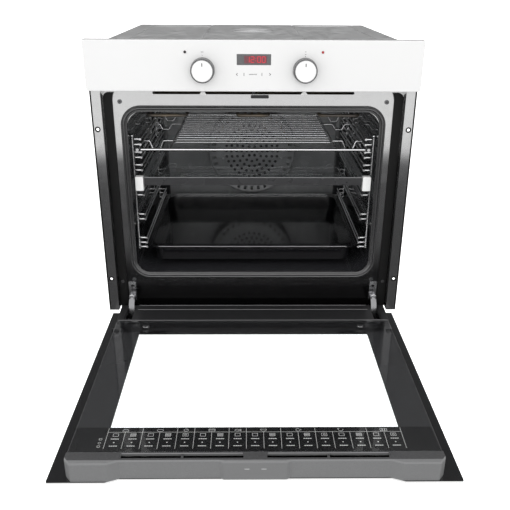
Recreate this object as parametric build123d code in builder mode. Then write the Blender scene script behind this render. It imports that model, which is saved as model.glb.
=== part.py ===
from build123d import *
import os

# A built-in electric oven with its drop-down door open.
# Millimetres. +X is right, +Y runs from the front flange into the housing, +Z is up.
# The origin is on the centre line, in the front flange's plane, at the level of the base.

os.makedirs("parts", exist_ok=True)

# ---------------------------------------------------------------- driving dimensions
WIDTH = 595.0  # front, across control panel and door
HEIGHT = 595.0  # base to the top of the control panel
HALF = WIDTH / 2
PANEL_HEIGHT = 87.0  # control panel
PANEL_FRONT = -22.0  # the panel's front and the closed door's front
SHEET = 1.2  # pressed steel

CASE_HALF = 280.0  # outer case, half width
CASE_TOP = 585.0
CASE_BACK = 545.0
CASE_STEP_Y = 34.0  # the base is set back here, so that the door's lower edge can swing in
CASE_STEP_Z = 58.0

FLANGE_HALF = 278.0  # inner edge of the flange strips, where the front steps back
FLANGE_TOP = 507.0
FLOOR_Y = 21.0  # the front's recessed floor
PLATE_Y = 18.0  # the raised plate round the mouth
PLATE_HALF = 260.0
PLATE_TOP = 503.0
FIXING_X = 288.0  # holes for the screws into the housing
FIXING_LOW = 129.5
FIXING_HIGH = 435.0
FIXING_R = 2.75

CAVITY_HALF = 241.0
CAVITY_LOW = 133.0
CAVITY_HIGH = 469.0
CAVITY_BACK = 446.0
CAVITY_CORNER = 34.0
CAVITY_MID = (CAVITY_LOW + CAVITY_HIGH) / 2
FAN_Z = 292.0  # height of the fan's axis
COVER_FRONT = 410.0  # front of the fan cover
COVER_R = 112.0

PIVOT_Y = -12.0  # door hinge axis
PIVOT_Z = 42.0
HINGE_X = 250.0
PIN_R = 3.0

DOOR_BOTTOM = 3.0  # closed door, lower edge
DOOR_TOP = HEIGHT - PANEL_HEIGHT - 3.0
DOOR_INNER = 14.0  # closed door, face towards the cavity
GLASS = 4.0
LEAF_Z = PIVOT_Z + PANEL_FRONT - PIVOT_Y  # open door, outer face
BODY_Z = LEAF_Z + GLASS  # open door, back of the outer panel
TOP_Z = PIVOT_Z + DOOR_INNER - PIVOT_Y  # open door, face that was towards the cavity
FOLD = PIVOT_Y + PIVOT_Z  # a point at height z on the closed door lies at y = FOLD - z
DOOR_FRONT = FOLD - DOOR_TOP
DOOR_REAR = FOLD - DOOR_BOTTOM
BODY_HALF = 271.0
BODY_REAR = 4.0
BODY_FRONT = -470.0
FOOT_FRONT = -64.0  # front end of the moulding that carries the hinges
TRIM_REAR = -449.0  # where the inner glass ends and the moulded top trim starts

KNOB_X = 90.0
KNOB_Z = 544.5
KNOB_R = 21.5
DISPLAY_Z = 562.5
LAMP_X = 120.0
LAMP_Z = 575.0

WIRE_R = 2.2
RUNG_X = 219.5
UPRIGHT_X = 235.0
RACK_FRONT = 50.0
RACK_BACK = 385.0
RUNG_TOP = 405.6
RUNG_PITCH = 25.65
RUNG_PAIR = 10.5
LEVELS = (0, 1, 2, 4, 6, 8)  # level 3 is the telescopic runners'
RUNG_LOW = 180.2  # single rungs that the deep tray's rim rests on
SHELF_Z = 385.6
SHELF_HALF = 225.5
RUNNER_Z = 321.5
TRAY_HALF = 224.0

BLOWER_Y = 345.0
SLOT_Z = 499.0


def facing(y):
    """A sketch plane at depth y: x to the right, y up; extruding goes to the front."""
    return Plane.XZ.offset(-y)


def save(piece, label):
    """Label a finished piece and write it out."""
    piece.part.label = label
    export_step(piece.part, f"parts/{label}.step")


def sides(x):
    """The two mirror-image positions of something at distance x from the centre line."""
    return (-x, x)


# ---------------------------------------------------------------- control panel
PANEL_MID = HEIGHT - PANEL_HEIGHT / 2
PANEL_WALL = 2.5
PANEL_FACE = 3.0
DISPLAY_W = 60.0
DISPLAY_H = 18.6
ELECTRONICS_Z = 550.0
ELECTRONICS_BACK = 19.0
ELECTRONICS_DEPTH = 37.0
LAMP_R = 2.2

with BuildPart() as control_panel:
    with BuildSketch(facing(0)):
        with Locations((0, PANEL_MID)):
            Rectangle(WIDTH, PANEL_HEIGHT)
    extrude(amount=-PANEL_FRONT)
    fillet(control_panel.faces().sort_by(Axis.Y)[0].edges(), radius=1.2)
    with BuildSketch(facing(0)):
        with Locations((0, PANEL_MID)):
            Rectangle(WIDTH - 2 * PANEL_WALL, PANEL_HEIGHT - 2 * PANEL_WALL)
    extrude(amount=-PANEL_FRONT - PANEL_FACE, mode=Mode.SUBTRACT)
    with BuildSketch(facing(0)):
        with Locations(*[(x, KNOB_Z) for x in sides(KNOB_X)]):
            Circle(7.0)
        with Locations(*[(x, LAMP_Z) for x in sides(LAMP_X)]):
            Circle(LAMP_R + 0.2)
        with Locations((0, DISPLAY_Z)):
            Rectangle(DISPLAY_W, DISPLAY_H)
    extrude(amount=-PANEL_FRONT, mode=Mode.SUBTRACT)
save(control_panel, "control_panel")

with BuildPart() as display_window:
    with BuildSketch(facing(PANEL_FRONT + PANEL_FACE)):
        with Locations((0, DISPLAY_Z)):
            Rectangle(DISPLAY_W - 0.4, DISPLAY_H - 0.4)
    extrude(amount=PANEL_FACE - 0.4)
save(display_window, "display_window")

with BuildPart() as electronics_housing:
    with BuildSketch(facing(ELECTRONICS_BACK)):
        with Locations((0, ELECTRONICS_Z)):
            RectangleRounded(120.0, 58.0, 3.0)
    extrude(amount=ELECTRONICS_DEPTH)
    with BuildSketch(facing(ELECTRONICS_BACK - ELECTRONICS_DEPTH)):
        with Locations((0, DISPLAY_Z)):
            Rectangle(DISPLAY_W - 2.0, DISPLAY_H - 1.6)
    extrude(amount=-6.0, mode=Mode.SUBTRACT)
save(electronics_housing, "electronics_housing")

with BuildPart() as indicator_lamps:
    with BuildSketch(facing(-10.0)):
        with Locations(*[(x, LAMP_Z) for x in sides(LAMP_X)]):
            Circle(LAMP_R)
    extrude(amount=12.8)
    fillet(indicator_lamps.edges().filter_by(GeomType.CIRCLE).group_by(Axis.Y)[0], radius=0.8)
save(indicator_lamps, "indicator_lamps")

# ---------------------------------------------------------------- knobs and their switches
KNOB_BACK = PANEL_FRONT - 0.5
KNOB_DEPTH = 15.5
FACE_R = 18.0
FACE_SEAT = 1.6  # how far the face is let into the knob
STEM_R = 3.0
STEM_BACK = 8.0
SWITCH_WIDTH = 38.0
SWITCH_BACK = 20.0
SWITCH_FRONT = -6.0
NECK_R = 9.0  # the switch's threaded neck
NECK_LENGTH = 6.0

for side, x in (("left", -KNOB_X), ("right", KNOB_X)):
    with BuildPart() as knob:
        with BuildSketch(facing(KNOB_BACK)):
            with Locations((x, KNOB_Z)):
                Circle(KNOB_R)
        extrude(amount=KNOB_DEPTH, taper=4.0)
        fillet(knob.faces().sort_by(Axis.Y)[0].edges(), radius=0.6)
        with BuildSketch(facing(KNOB_BACK - KNOB_DEPTH)):
            with Locations((x, KNOB_Z)):
                Circle(FACE_R + 0.15)
        extrude(amount=-FACE_SEAT, mode=Mode.SUBTRACT)
        with BuildSketch(facing(KNOB_BACK)):
            with Locations((x, KNOB_Z)):
                Circle(KNOB_R - 3.0)
                Circle(6.0, mode=Mode.SUBTRACT)
        extrude(amount=KNOB_DEPTH - 4.5, mode=Mode.SUBTRACT)
        with BuildSketch(facing(KNOB_BACK)):
            with Locations((x, KNOB_Z)):
                Circle(STEM_R)
        extrude(amount=-(STEM_BACK - KNOB_BACK))
    save(knob, f"knob_{side}")

    with BuildPart() as knob_face:
        with BuildSketch(facing(KNOB_BACK - KNOB_DEPTH + FACE_SEAT)):
            with Locations((x, KNOB_Z)):
                Circle(FACE_R)
        extrude(amount=FACE_SEAT + 0.3)
        fillet(knob_face.faces().sort_by(Axis.Y)[0].edges(), radius=0.4)
    save(knob_face, f"knob_face_{side}")

for label, x in (("function_switch", -KNOB_X), ("thermostat_switch", KNOB_X)):
    with BuildPart() as switch:
        with BuildSketch(facing(SWITCH_BACK)):
            with Locations((x, KNOB_Z)):
                RectangleRounded(SWITCH_WIDTH, SWITCH_WIDTH, 3.0)
        extrude(amount=SWITCH_BACK - SWITCH_FRONT)
        with BuildSketch(facing(SWITCH_FRONT)):
            with Locations((x, KNOB_Z)):
                Circle(NECK_R)
        extrude(amount=NECK_LENGTH)
        with BuildSketch(facing(SWITCH_FRONT - NECK_LENGTH)):
            with Locations((x, KNOB_Z)):
                Circle(STEM_R + 0.05)
        extrude(amount=-(STEM_BACK - SWITCH_FRONT + NECK_LENGTH + 2.0), mode=Mode.SUBTRACT)
    save(switch, label)

# ---------------------------------------------------------------- front frame
STRIP_WIDTH = HALF - FLANGE_HALF
STRIP_HEIGHT = FLANGE_TOP - CASE_STEP_Z
STRIP_MID = (FLANGE_TOP + CASE_STEP_Z) / 2
PLATE_HEIGHT = PLATE_TOP - CASE_STEP_Z
PLATE_MID = (PLATE_TOP + CASE_STEP_Z) / 2
PLATE_CORNER = 18.0
FRAME_TOP = CASE_TOP - SHEET - 1.0
MOUTH_LOW = 136.0
MOUTH_HIGH = 466.0
MOUTH_HALF = 238.0
MOUTH_MID = (MOUTH_LOW + MOUTH_HIGH) / 2
SCREWS = ((247.0, 483.0), (245.0, 121.0))
CHANNEL_SCREW = (269.0, 116.5)
SCREW_HOLE_R = 2.0
SLOT_LENGTH = 372.0
SLOT_HEIGHT = 5.0

with BuildPart() as front_frame:
    with BuildSketch(facing(0)):
        with Locations(*[(x, STRIP_MID) for x in sides(FLANGE_HALF + STRIP_WIDTH / 2)]):
            Rectangle(STRIP_WIDTH, STRIP_HEIGHT)
    extrude(amount=-SHEET)
    with BuildSketch(facing(0)):
        with Locations(*[(x, STRIP_MID) for x in sides(FLANGE_HALF + SHEET / 2)]):
            Rectangle(SHEET, STRIP_HEIGHT)
    extrude(amount=-FLOOR_Y - SHEET)
    with BuildSketch(facing(FLOOR_Y)):
        with Locations((0, (CASE_STEP_Z + FRAME_TOP) / 2)):
            Rectangle(2 * (FLANGE_HALF + SHEET), FRAME_TOP - CASE_STEP_Z)
    extrude(amount=-SHEET)
    with BuildSketch(facing(PLATE_Y)):
        with Locations((0, PLATE_MID)):
            RectangleRounded(2 * PLATE_HALF, PLATE_HEIGHT, PLATE_CORNER)
    extrude(amount=-(FLOOR_Y - PLATE_Y))
    with BuildSketch(facing(FLOOR_Y + SHEET)):
        with Locations((0, PLATE_MID)):
            RectangleRounded(
                2 * (PLATE_HALF - SHEET), PLATE_HEIGHT - 2 * SHEET, PLATE_CORNER - SHEET
            )
    extrude(amount=FLOOR_Y - PLATE_Y, mode=Mode.SUBTRACT)
    with BuildSketch(facing(-1.0)):
        with Locations((0, MOUTH_MID)):
            RectangleRounded(2 * MOUTH_HALF, MOUTH_HIGH - MOUTH_LOW, CAVITY_CORNER)
        with Locations((0, SLOT_Z)):
            SlotOverall(SLOT_LENGTH, SLOT_HEIGHT)
        with Locations(*[(x, z) for x in sides(FIXING_X) for z in (FIXING_LOW, FIXING_HIGH)]):
            Circle(FIXING_R)
        with Locations(*[(x, z) for px, z in SCREWS for x in sides(px)]):
            Circle(SCREW_HOLE_R)
        with Locations(*[(x, CHANNEL_SCREW[1]) for x in sides(CHANNEL_SCREW[0])]):
            Circle(SCREW_HOLE_R)
        with Locations(*[(x, KNOB_Z) for x in sides(KNOB_X)]):
            Circle(12.0)
        with Locations((0, ELECTRONICS_Z)):
            Rectangle(90.0, 40.0)
    extrude(amount=-40.0, mode=Mode.SUBTRACT)
save(front_frame, "front_frame")

CHANNEL_TOP = 499.5
CHANNEL_LOW = 59.0
CHANNEL_FRONT = 16.4

with BuildPart() as channel_strips:
    with BuildSketch(facing(CHANNEL_FRONT)):
        with Locations((0, (CHANNEL_TOP + CHANNEL_LOW) / 2)):
            RectangleRounded(2 * FLANGE_HALF - 1.8, CHANNEL_TOP - CHANNEL_LOW, 9.0)
        with Locations((0, PLATE_MID)):
            RectangleRounded(
                2 * PLATE_HALF + 1.0, PLATE_HEIGHT + 8.0, PLATE_CORNER, mode=Mode.SUBTRACT
            )
        with Locations(*[(x, CHANNEL_SCREW[1]) for x in sides(CHANNEL_SCREW[0])]):
            Circle(SCREW_HOLE_R, mode=Mode.SUBTRACT)
    extrude(amount=-(FLOOR_Y - CHANNEL_FRONT))
save(channel_strips, "channel_strips")

with BuildPart() as frame_screws:
    with BuildSketch(facing(PLATE_Y)):
        with Locations(*[(x, z) for px, z in SCREWS for x in sides(px)]):
            Circle(4.2)
    extrude(amount=1.9)
    with BuildSketch(facing(PLATE_Y)):
        with Locations(*[(x, z) for px, z in SCREWS for x in sides(px)]):
            Circle(SCREW_HOLE_R - 0.05)
    extrude(amount=-(FLOOR_Y - PLATE_Y + SHEET))
    with BuildSketch(facing(CHANNEL_FRONT)):
        with Locations(*[(x, CHANNEL_SCREW[1]) for x in sides(CHANNEL_SCREW[0])]):
            Circle(3.6)
    extrude(amount=1.4)
    with BuildSketch(facing(CHANNEL_FRONT)):
        with Locations(*[(x, CHANNEL_SCREW[1]) for x in sides(CHANNEL_SCREW[0])]):
            Circle(SCREW_HOLE_R - 0.05)
    extrude(amount=-(FLOOR_Y - CHANNEL_FRONT + 1.0))
save(frame_screws, "frame_screws")

with BuildPart() as vent_grille:
    with BuildSketch(facing(FLOOR_Y + SHEET + 0.2)):
        with Locations((0, SLOT_Z + 1.5)):
            Rectangle(SLOT_LENGTH + 20.0, 12.0)
    extrude(amount=-8.0)
    with BuildSketch(facing(FLOOR_Y)):
        with Locations(*[(x, SLOT_Z) for x in (-140.0, -46.5, 46.5, 140.0)]):
            SlotOverall(88.0, SLOT_HEIGHT + 0.4)
    extrude(amount=-20.0, mode=Mode.SUBTRACT)
save(vent_grille, "vent_grille")

SWITCH_Z = 492.5

with BuildPart() as door_switch:
    with BuildSketch(facing(PLATE_Y - 0.1)):
        with Locations((11.5, SWITCH_Z)):
            RectangleRounded(33.0, 6.0, 1.5)
    extrude(amount=2.2)
    with BuildSketch(facing(PLATE_Y - 2.3)):
        with Locations((4.0, SWITCH_Z), (20.0, SWITCH_Z)):
            Rectangle(8.0, 3.4)
    extrude(amount=1.2)
save(door_switch, "door_switch")

# ---------------------------------------------------------------- hinge arms on the frame
ARM_HALF = 5.6
EYE_R = 5.4
ARM_TOP = 86.0
ARM_FOOT_Z = 94.0  # middle of the arm's fixing plate

with BuildPart() as hinge_arms:
    for x in sides(HINGE_X):
        with BuildSketch(Plane.YZ.offset(x - ARM_HALF)):
            with BuildLine():
                Polyline(
                    (PIVOT_Y - EYE_R, PIVOT_Z),
                    (PIVOT_Y + 4.0, 75.0),
                    (3.0, ARM_TOP),
                    (PLATE_Y - 0.2, ARM_TOP),
                    (PLATE_Y - 0.2, 73.0),
                    (7.0, 71.0),
                    (0.5, 64.0),
                    (PIVOT_Y + EYE_R, PIVOT_Z),
                    close=True,
                )
            make_face()
            with Locations((PIVOT_Y, PIVOT_Z)):
                Circle(EYE_R)
                Circle(PIN_R + 0.05, mode=Mode.SUBTRACT)
        extrude(amount=2 * ARM_HALF)
    with BuildSketch(facing(PLATE_Y - 0.2)):
        with Locations(*[(x, ARM_FOOT_Z) for x in sides(HINGE_X)]):
            RectangleRounded(15.0, 44.0, 2.0)
        with Locations(*[(x, ARM_FOOT_Z + 12.0) for x in sides(HINGE_X)]):
            Circle(3.0, mode=Mode.SUBTRACT)
    extrude(amount=2.2)
save(hinge_arms, "hinge_arms")

# ---------------------------------------------------------------- cavity
LINER_FRONT = FLOOR_Y + SHEET + 0.2
CAVITY_HEIGHT = CAVITY_HIGH - CAVITY_LOW
LEG_X = 20.0  # the ring heater's terminal legs
RING_R = 92.0
GRILL_Z = 448.0
GRILL_LEG_X = 60.0
LAMP_CENTRE = (-182.0, 423.0)
PROBE = (110.0, 441.0)
PROBE_R = 2.0
TUBE_R = 3.3  # tubular heaters
TUBE_HOLE_R = 3.7
LINER_FLANGE = 12.0

with BuildPart() as cavity_liner:
    with BuildSketch(facing(LINER_FRONT)):
        with Locations((0, CAVITY_MID)):
            RectangleRounded(
                2 * (CAVITY_HALF + LINER_FLANGE),
                CAVITY_HEIGHT + 2 * LINER_FLANGE,
                CAVITY_CORNER + LINER_FLANGE,
            )
    extrude(amount=-SHEET)
    with BuildSketch(facing(LINER_FRONT)):
        with Locations((0, CAVITY_MID)):
            RectangleRounded(
                2 * (CAVITY_HALF + SHEET), CAVITY_HEIGHT + 2 * SHEET, CAVITY_CORNER + SHEET
            )
    extrude(amount=-(CAVITY_BACK - LINER_FRONT))
    with BuildSketch(facing(LINER_FRONT)):
        with Locations((0, CAVITY_MID)):
            RectangleRounded(2 * CAVITY_HALF, CAVITY_HEIGHT, CAVITY_CORNER)
    extrude(amount=-CAVITY_BACK, mode=Mode.SUBTRACT)
save(cavity_liner, "cavity_liner")

with BuildPart() as cavity_back:
    with BuildSketch(facing(CAVITY_BACK + 0.1)):
        with Locations((0, CAVITY_MID)):
            RectangleRounded(
                2 * (CAVITY_HALF + SHEET), CAVITY_HEIGHT + 2 * SHEET, CAVITY_CORNER + SHEET
            )
        with Locations((0, FAN_Z)):
            Circle(9.0, mode=Mode.SUBTRACT)
        with Locations(*[(x, FAN_Z - RING_R) for x in sides(LEG_X)]):
            Circle(TUBE_HOLE_R, mode=Mode.SUBTRACT)
        with Locations(*[(x, GRILL_Z) for x in sides(GRILL_LEG_X)]):
            Circle(TUBE_HOLE_R, mode=Mode.SUBTRACT)
        with Locations(LAMP_CENTRE):
            Circle(16.0, mode=Mode.SUBTRACT)
        with Locations(PROBE):
            Circle(PROBE_R + 0.6, mode=Mode.SUBTRACT)
    extrude(amount=-SHEET)
save(cavity_back, "cavity_back")

SEAL_MID = 300.5
SEAL_WIDTH = 497.0
SEAL_HEIGHT = 351.0

with BuildPart() as door_seal:
    with BuildSketch(facing(PLATE_Y - 0.1)):
        with Locations((0, SEAL_MID)):
            RectangleRounded(SEAL_WIDTH, SEAL_HEIGHT, 38.0)
            RectangleRounded(SEAL_WIDTH - 23.0, SEAL_HEIGHT - 25.0, 31.0, mode=Mode.SUBTRACT)
    extrude(amount=1.3)
    with BuildSketch(facing(PLATE_Y - 0.1)):
        with Locations((0, SEAL_MID)):
            RectangleRounded(SEAL_WIDTH - 10.0, SEAL_HEIGHT - 11.0, 35.0)
            RectangleRounded(SEAL_WIDTH - 20.0, SEAL_HEIGHT - 21.0, 32.0, mode=Mode.SUBTRACT)
    extrude(amount=3.2)
    fillet(door_seal.faces().sort_by(Axis.Y)[0].edges(), radius=1.0)
save(door_seal, "door_seal")

COVER_TAPER = 5.0
HOLE_R = 3.6
HOLE_PITCH = 13.0

with BuildPart() as fan_cover:
    with BuildSketch(facing(CAVITY_BACK)):
        with Locations((0, FAN_Z)):
            Circle(COVER_R)
    extrude(amount=CAVITY_BACK - COVER_FRONT, taper=COVER_TAPER)
    fillet(fan_cover.faces().sort_by(Axis.Y)[0].edges(), radius=4.0)
    with BuildSketch(facing(CAVITY_BACK)):
        with Locations((0, FAN_Z)):
            Circle(COVER_R - SHEET)
    extrude(amount=CAVITY_BACK - COVER_FRONT - SHEET, taper=COVER_TAPER, mode=Mode.SUBTRACT)
    with BuildSketch(facing(COVER_FRONT - 1.0)):
        with Locations((0, FAN_Z)):
            with PolarLocations(97.0, 36):
                Rectangle(10.0, 6.5)
            for ring in range(1, 6):
                with PolarLocations(HOLE_PITCH * ring, 6 * ring):
                    Circle(HOLE_R)
            Circle(HOLE_R)
    extrude(amount=-6.0, mode=Mode.SUBTRACT)
save(fan_cover, "fan_cover")

FAN_Y = 438.0  # the fan's disc
FAN_R = 76.0
SHAFT_R = 4.0
MOTOR_Y = 456.0
MOTOR_R = 36.0

with BuildPart() as fan_impeller:
    with BuildSketch(facing(FAN_Y)):
        with Locations((0, FAN_Z)):
            Circle(FAN_R)
    extrude(amount=SHEET)
    with BuildSketch(facing(FAN_Y - 1.0)):
        with Locations((0, FAN_Z)):
            with PolarLocations(FAN_R - 16.0, 12):
                with Locations(Rotation(0, 0, 35)):
                    Rectangle(30.0, SHEET)
    extrude(amount=20.0)
    with BuildSketch(facing(FAN_Y)):
        with Locations((0, FAN_Z)):
            Circle(9.0)
    extrude(amount=18.0)
    with BuildSketch(facing(FAN_Y)):
        with Locations((0, FAN_Z)):
            Circle(SHAFT_R)
    extrude(amount=-32.0)
save(fan_impeller, "fan_impeller")

with BuildPart() as fan_motor:
    with BuildSketch(facing(MOTOR_Y)):
        with Locations((0, FAN_Z)):
            Circle(MOTOR_R)
    extrude(amount=-44.0)
    fillet(fan_motor.edges().filter_by(GeomType.CIRCLE), radius=3.0)
    with BuildSketch(facing(MOTOR_Y - 2.0)):
        with Locations((0, FAN_Z)):
            Rectangle(2 * MOTOR_R + 48.0, 22.0)
    extrude(amount=-3.0)
    with BuildSketch(facing(MOTOR_Y - 2.0)):
        with Locations((0, FAN_Z)):
            Circle(SHAFT_R + 0.05)
    extrude(amount=-18.0, mode=Mode.SUBTRACT)
save(fan_motor, "fan_motor")

RING_Y = 428.0
HEATER_END = 470.0  # the heaters' terminals end here, behind the cavity

with BuildPart() as ring_heater:
    with BuildSketch(Plane.XY.offset(FAN_Z)):
        with Locations((RING_R, RING_Y)):
            Circle(TUBE_R)
    revolve(axis=Axis((0, RING_Y, FAN_Z), (0, 1, 0)))
    with BuildSketch(facing(RING_Y)):
        with Locations(*[(x, FAN_Z - RING_R) for x in sides(LEG_X)]):
            Circle(TUBE_R)
    extrude(amount=-(HEATER_END - RING_Y))
save(ring_heater, "ring_heater")


def heating_loop(height, legs, runs, front, back, leg_end):
    """A bent tubular heater: legs at the back, then long runs joined by round bends."""
    half = [(legs, leg_end, height), (legs, back, height)]
    half = half + [(runs[0], back, height), (runs[0], front, height), (runs[1], front, height)]
    half = half + [(runs[1], back - BEND_STEP, height), (runs[2], back - BEND_STEP, height)]
    half = half + [(runs[2], front, height)]
    points = half + [(-x, y, z) for x, y, z in reversed(half)]
    with BuildPart() as loop:
        with BuildLine() as route:
            FilletPolyline(*points, radius=9.0)
        with BuildSketch(Plane(origin=route.line @ 0, z_dir=route.line % 0)):
            Circle(TUBE_R)
        sweep(path=route.line)
    return loop


LOOP_RUNS = (205.0, 130.0, 30.0)
LOOP_FRONT = 70.0
LOOP_BACK = 404.0
BEND_STEP = 14.0
BOTTOM_HEATER_Z = 122.0

grill_element = heating_loop(
    GRILL_Z, GRILL_LEG_X, LOOP_RUNS, LOOP_FRONT, LOOP_BACK, HEATER_END
)
save(grill_element, "grill_element")
bottom_element = heating_loop(
    BOTTOM_HEATER_Z, GRILL_LEG_X, LOOP_RUNS, LOOP_FRONT, LOOP_BACK, HEATER_END
)
save(bottom_element, "bottom_element")

LENS_R = 24.0

with BuildPart() as lamp_holder:
    with BuildSketch(facing(CAVITY_BACK + SHEET + 0.3)):
        with Locations(LAMP_CENTRE):
            Circle(LENS_R)
    extrude(amount=-3.0)
    with BuildSketch(facing(CAVITY_BACK + SHEET + 0.3)):
        with Locations(LAMP_CENTRE):
            Circle(LENS_R - 9.0)
    extrude(amount=-40.0)
save(lamp_holder, "lamp_holder")

with BuildPart() as lamp_glass:
    with BuildSketch(facing(CAVITY_BACK - 0.1)):
        with Locations(LAMP_CENTRE):
            Circle(LENS_R)
    extrude(amount=16.0, taper=12.0)
    fillet(lamp_glass.faces().sort_by(Axis.Y)[0].edges(), radius=5.0)
save(lamp_glass, "lamp_glass")

PROBE_END = 470.0
PROBE_LENGTH = 70.0

with BuildPart() as temperature_probe:
    with BuildSketch(facing(PROBE_END)):
        with Locations(PROBE):
            Circle(PROBE_R)
    extrude(amount=PROBE_LENGTH)
    fillet(temperature_probe.faces().sort_by(Axis.Y)[0].edges(), radius=1.5)
save(temperature_probe, "temperature_probe")

# ---------------------------------------------------------------- side racks and runners
RUNGS = [RUNG_TOP - RUNG_PITCH * level - drop for level in LEVELS for drop in (0.0, RUNG_PAIR)]
RUNGS = RUNGS + [RUNG_LOW]
RUNNER_OUT = UPRIGHT_X - WIRE_R - 0.2
RUNNER_IN = RUNG_X
RAIL_THICK = 3.8
SLIDE_THICK = 7.6
RUNNER_FRONT = 40.0

for side, sign in (("left", -1), ("right", 1)):
    with BuildPart() as rack:
        with BuildSketch(Plane.XY.offset(RUNG_LOW - 3.0)):
            with Locations(*[(sign * UPRIGHT_X, y) for y in (RACK_FRONT, RACK_BACK)]):
                Circle(WIRE_R)
        extrude(amount=RUNG_TOP - RUNG_LOW + 6.0)
        with BuildSketch(facing(RACK_FRONT - WIRE_R)):
            with Locations(*[(sign * RUNG_X, z) for z in RUNGS]):
                Circle(WIRE_R)
        extrude(amount=-(RACK_BACK - RACK_FRONT + 2 * WIRE_R))
        with BuildSketch(Plane.YZ.offset(sign * RUNG_X)):
            with Locations(*[(y, z) for y in (RACK_FRONT, RACK_BACK) for z in RUNGS]):
                Circle(WIRE_R - 0.1)
        extrude(amount=sign * (UPRIGHT_X - RUNG_X))
    save(rack, f"side_rack_{side}")

with BuildPart() as runner_rails:
    with BuildSketch(facing(RUNNER_FRONT + 6.0)):
        with Locations(*[(x, RUNNER_Z) for x in sides(RUNNER_OUT - RAIL_THICK / 2)]):
            Rectangle(RAIL_THICK, 26.0)
    extrude(amount=-342.0)
save(runner_rails, "runner_rails")

with BuildPart() as runner_slides:
    with BuildSketch(facing(RUNNER_FRONT + 0.2)):
        with Locations(*[(x, RUNNER_Z) for x in sides(RUNNER_IN + SLIDE_THICK / 2)]):
            RectangleRounded(SLIDE_THICK, 22.0, 2.0)
    extrude(amount=-335.0)
save(runner_slides, "runner_slides")

with BuildPart() as runner_caps:
    with BuildSketch(facing(RUNNER_FRONT)):
        with Locations(*[(x, RUNNER_Z) for x in sides(RUNNER_IN + 3.9)]):
            RectangleRounded(15.6, 28.6, 2.0)
    extrude(amount=11.0)
    fillet(runner_caps.faces().sort_by(Axis.Y)[0].edges(), radius=0.8)
save(runner_caps, "runner_caps")

# ---------------------------------------------------------------- wire shelf and trays
SHELF_FRONT = 47.0
SHELF_BACK = 398.0
GRID_HALF = 162.0
BAR_COUNT = 14
EDGE_R = 3.0
BAR_R = 2.0
DIP_AT = (22.0, 31.0, 44.0, 51.0)  # where a cross wire bends, beyond the grid's edge
DIPS = ((122.0, 17.5), (288.0, 12.0), (384.0, 12.0))  # y and depth of the cross wires' dips
BAR_FRONT = 109.0
BAR_STEP = (SHELF_BACK - 14.0 - BAR_FRONT) / (BAR_COUNT - 1)

with BuildPart() as wire_shelf:
    with BuildSketch(facing(SHELF_FRONT - EDGE_R)):
        with Locations(*[(x, SHELF_Z) for x in sides(SHELF_HALF)]):
            Circle(EDGE_R)
    extrude(amount=-(SHELF_BACK - SHELF_FRONT + 2 * EDGE_R))
    with BuildSketch(facing(SHELF_FRONT)):
        with Locations(*[(x, SHELF_Z) for x in sides(GRID_HALF)]):
            Circle(BAR_R + 0.4)
    extrude(amount=-(SHELF_BACK - SHELF_FRONT))
    with BuildSketch(Plane.YZ.offset(-SHELF_HALF)):
        with Locations((SHELF_FRONT, SHELF_Z), (SHELF_BACK, SHELF_Z)):
            Circle(EDGE_R - 0.1)
    extrude(amount=2 * SHELF_HALF)
    with BuildSketch(Plane.YZ.offset(-GRID_HALF)):
        with Locations(*[(BAR_FRONT + BAR_STEP * n, SHELF_Z) for n in range(BAR_COUNT)]):
            Circle(BAR_R)
    extrude(amount=2 * GRID_HALF)
    for y, dip in DIPS:
        for sign in sides(1):
            with BuildLine() as dipped:
                FilletPolyline(
                    (sign * GRID_HALF, y, SHELF_Z),
                    (sign * (GRID_HALF + DIP_AT[0]), y, SHELF_Z),
                    (sign * (GRID_HALF + DIP_AT[1]), y, SHELF_Z - dip),
                    (sign * (GRID_HALF + DIP_AT[2]), y, SHELF_Z - dip),
                    (sign * (GRID_HALF + DIP_AT[3]), y, SHELF_Z),
                    (sign * SHELF_HALF, y, SHELF_Z),
                    radius=4.0,
                )
            with BuildSketch(Plane.YZ.offset(sign * GRID_HALF)):
                with Locations((y, SHELF_Z)):
                    Circle(BAR_R)
            sweep(path=dipped.line)
save(wire_shelf, "wire_shelf")


def baking_tray(rim_z, depth, wall, front, back):
    """A tray: a flat rim round a drafted pan, in one wall thickness."""
    length = back - front
    middle = (front + back) / 2
    with BuildPart() as tray:
        with BuildSketch(Plane.XY.offset(rim_z - wall)):
            with Locations((0, middle)):
                RectangleRounded(2 * TRAY_HALF, length, RIM_CORNER)
        extrude(amount=wall)
        with BuildSketch(Plane.XY.offset(rim_z)):
            with Locations((0, middle)):
                RectangleRounded(2 * PAN_HALF, length - 2 * RIM, PAN_CORNER)
        extrude(amount=-depth, taper=DRAFT)
        with BuildSketch(Plane.XY.offset(rim_z)):
            with Locations((0, middle)):
                RectangleRounded(2 * (PAN_HALF - wall), length - 2 * RIM - 2 * wall, PAN_CORNER - wall)
        extrude(amount=-(depth - wall), taper=DRAFT, mode=Mode.SUBTRACT)
    return tray


RIM = 15.0
RIM_CORNER = 28.0
PAN_CORNER = 24.0
DRAFT = 9.0
PAN_HALF = TRAY_HALF - RIM
TRAY_FRONT = 42.0
TRAY_LENGTH = 352.0
LIP_HALF = 213.5
GLASS_TRAY_Z = RUNNER_Z + 11.3 + GLASS  # the rim rests just above the slides
LIP_HEIGHT = 16.0
DEEP_RIM_Z = 184.0
DEEP_FRONT = 40.0

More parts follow.
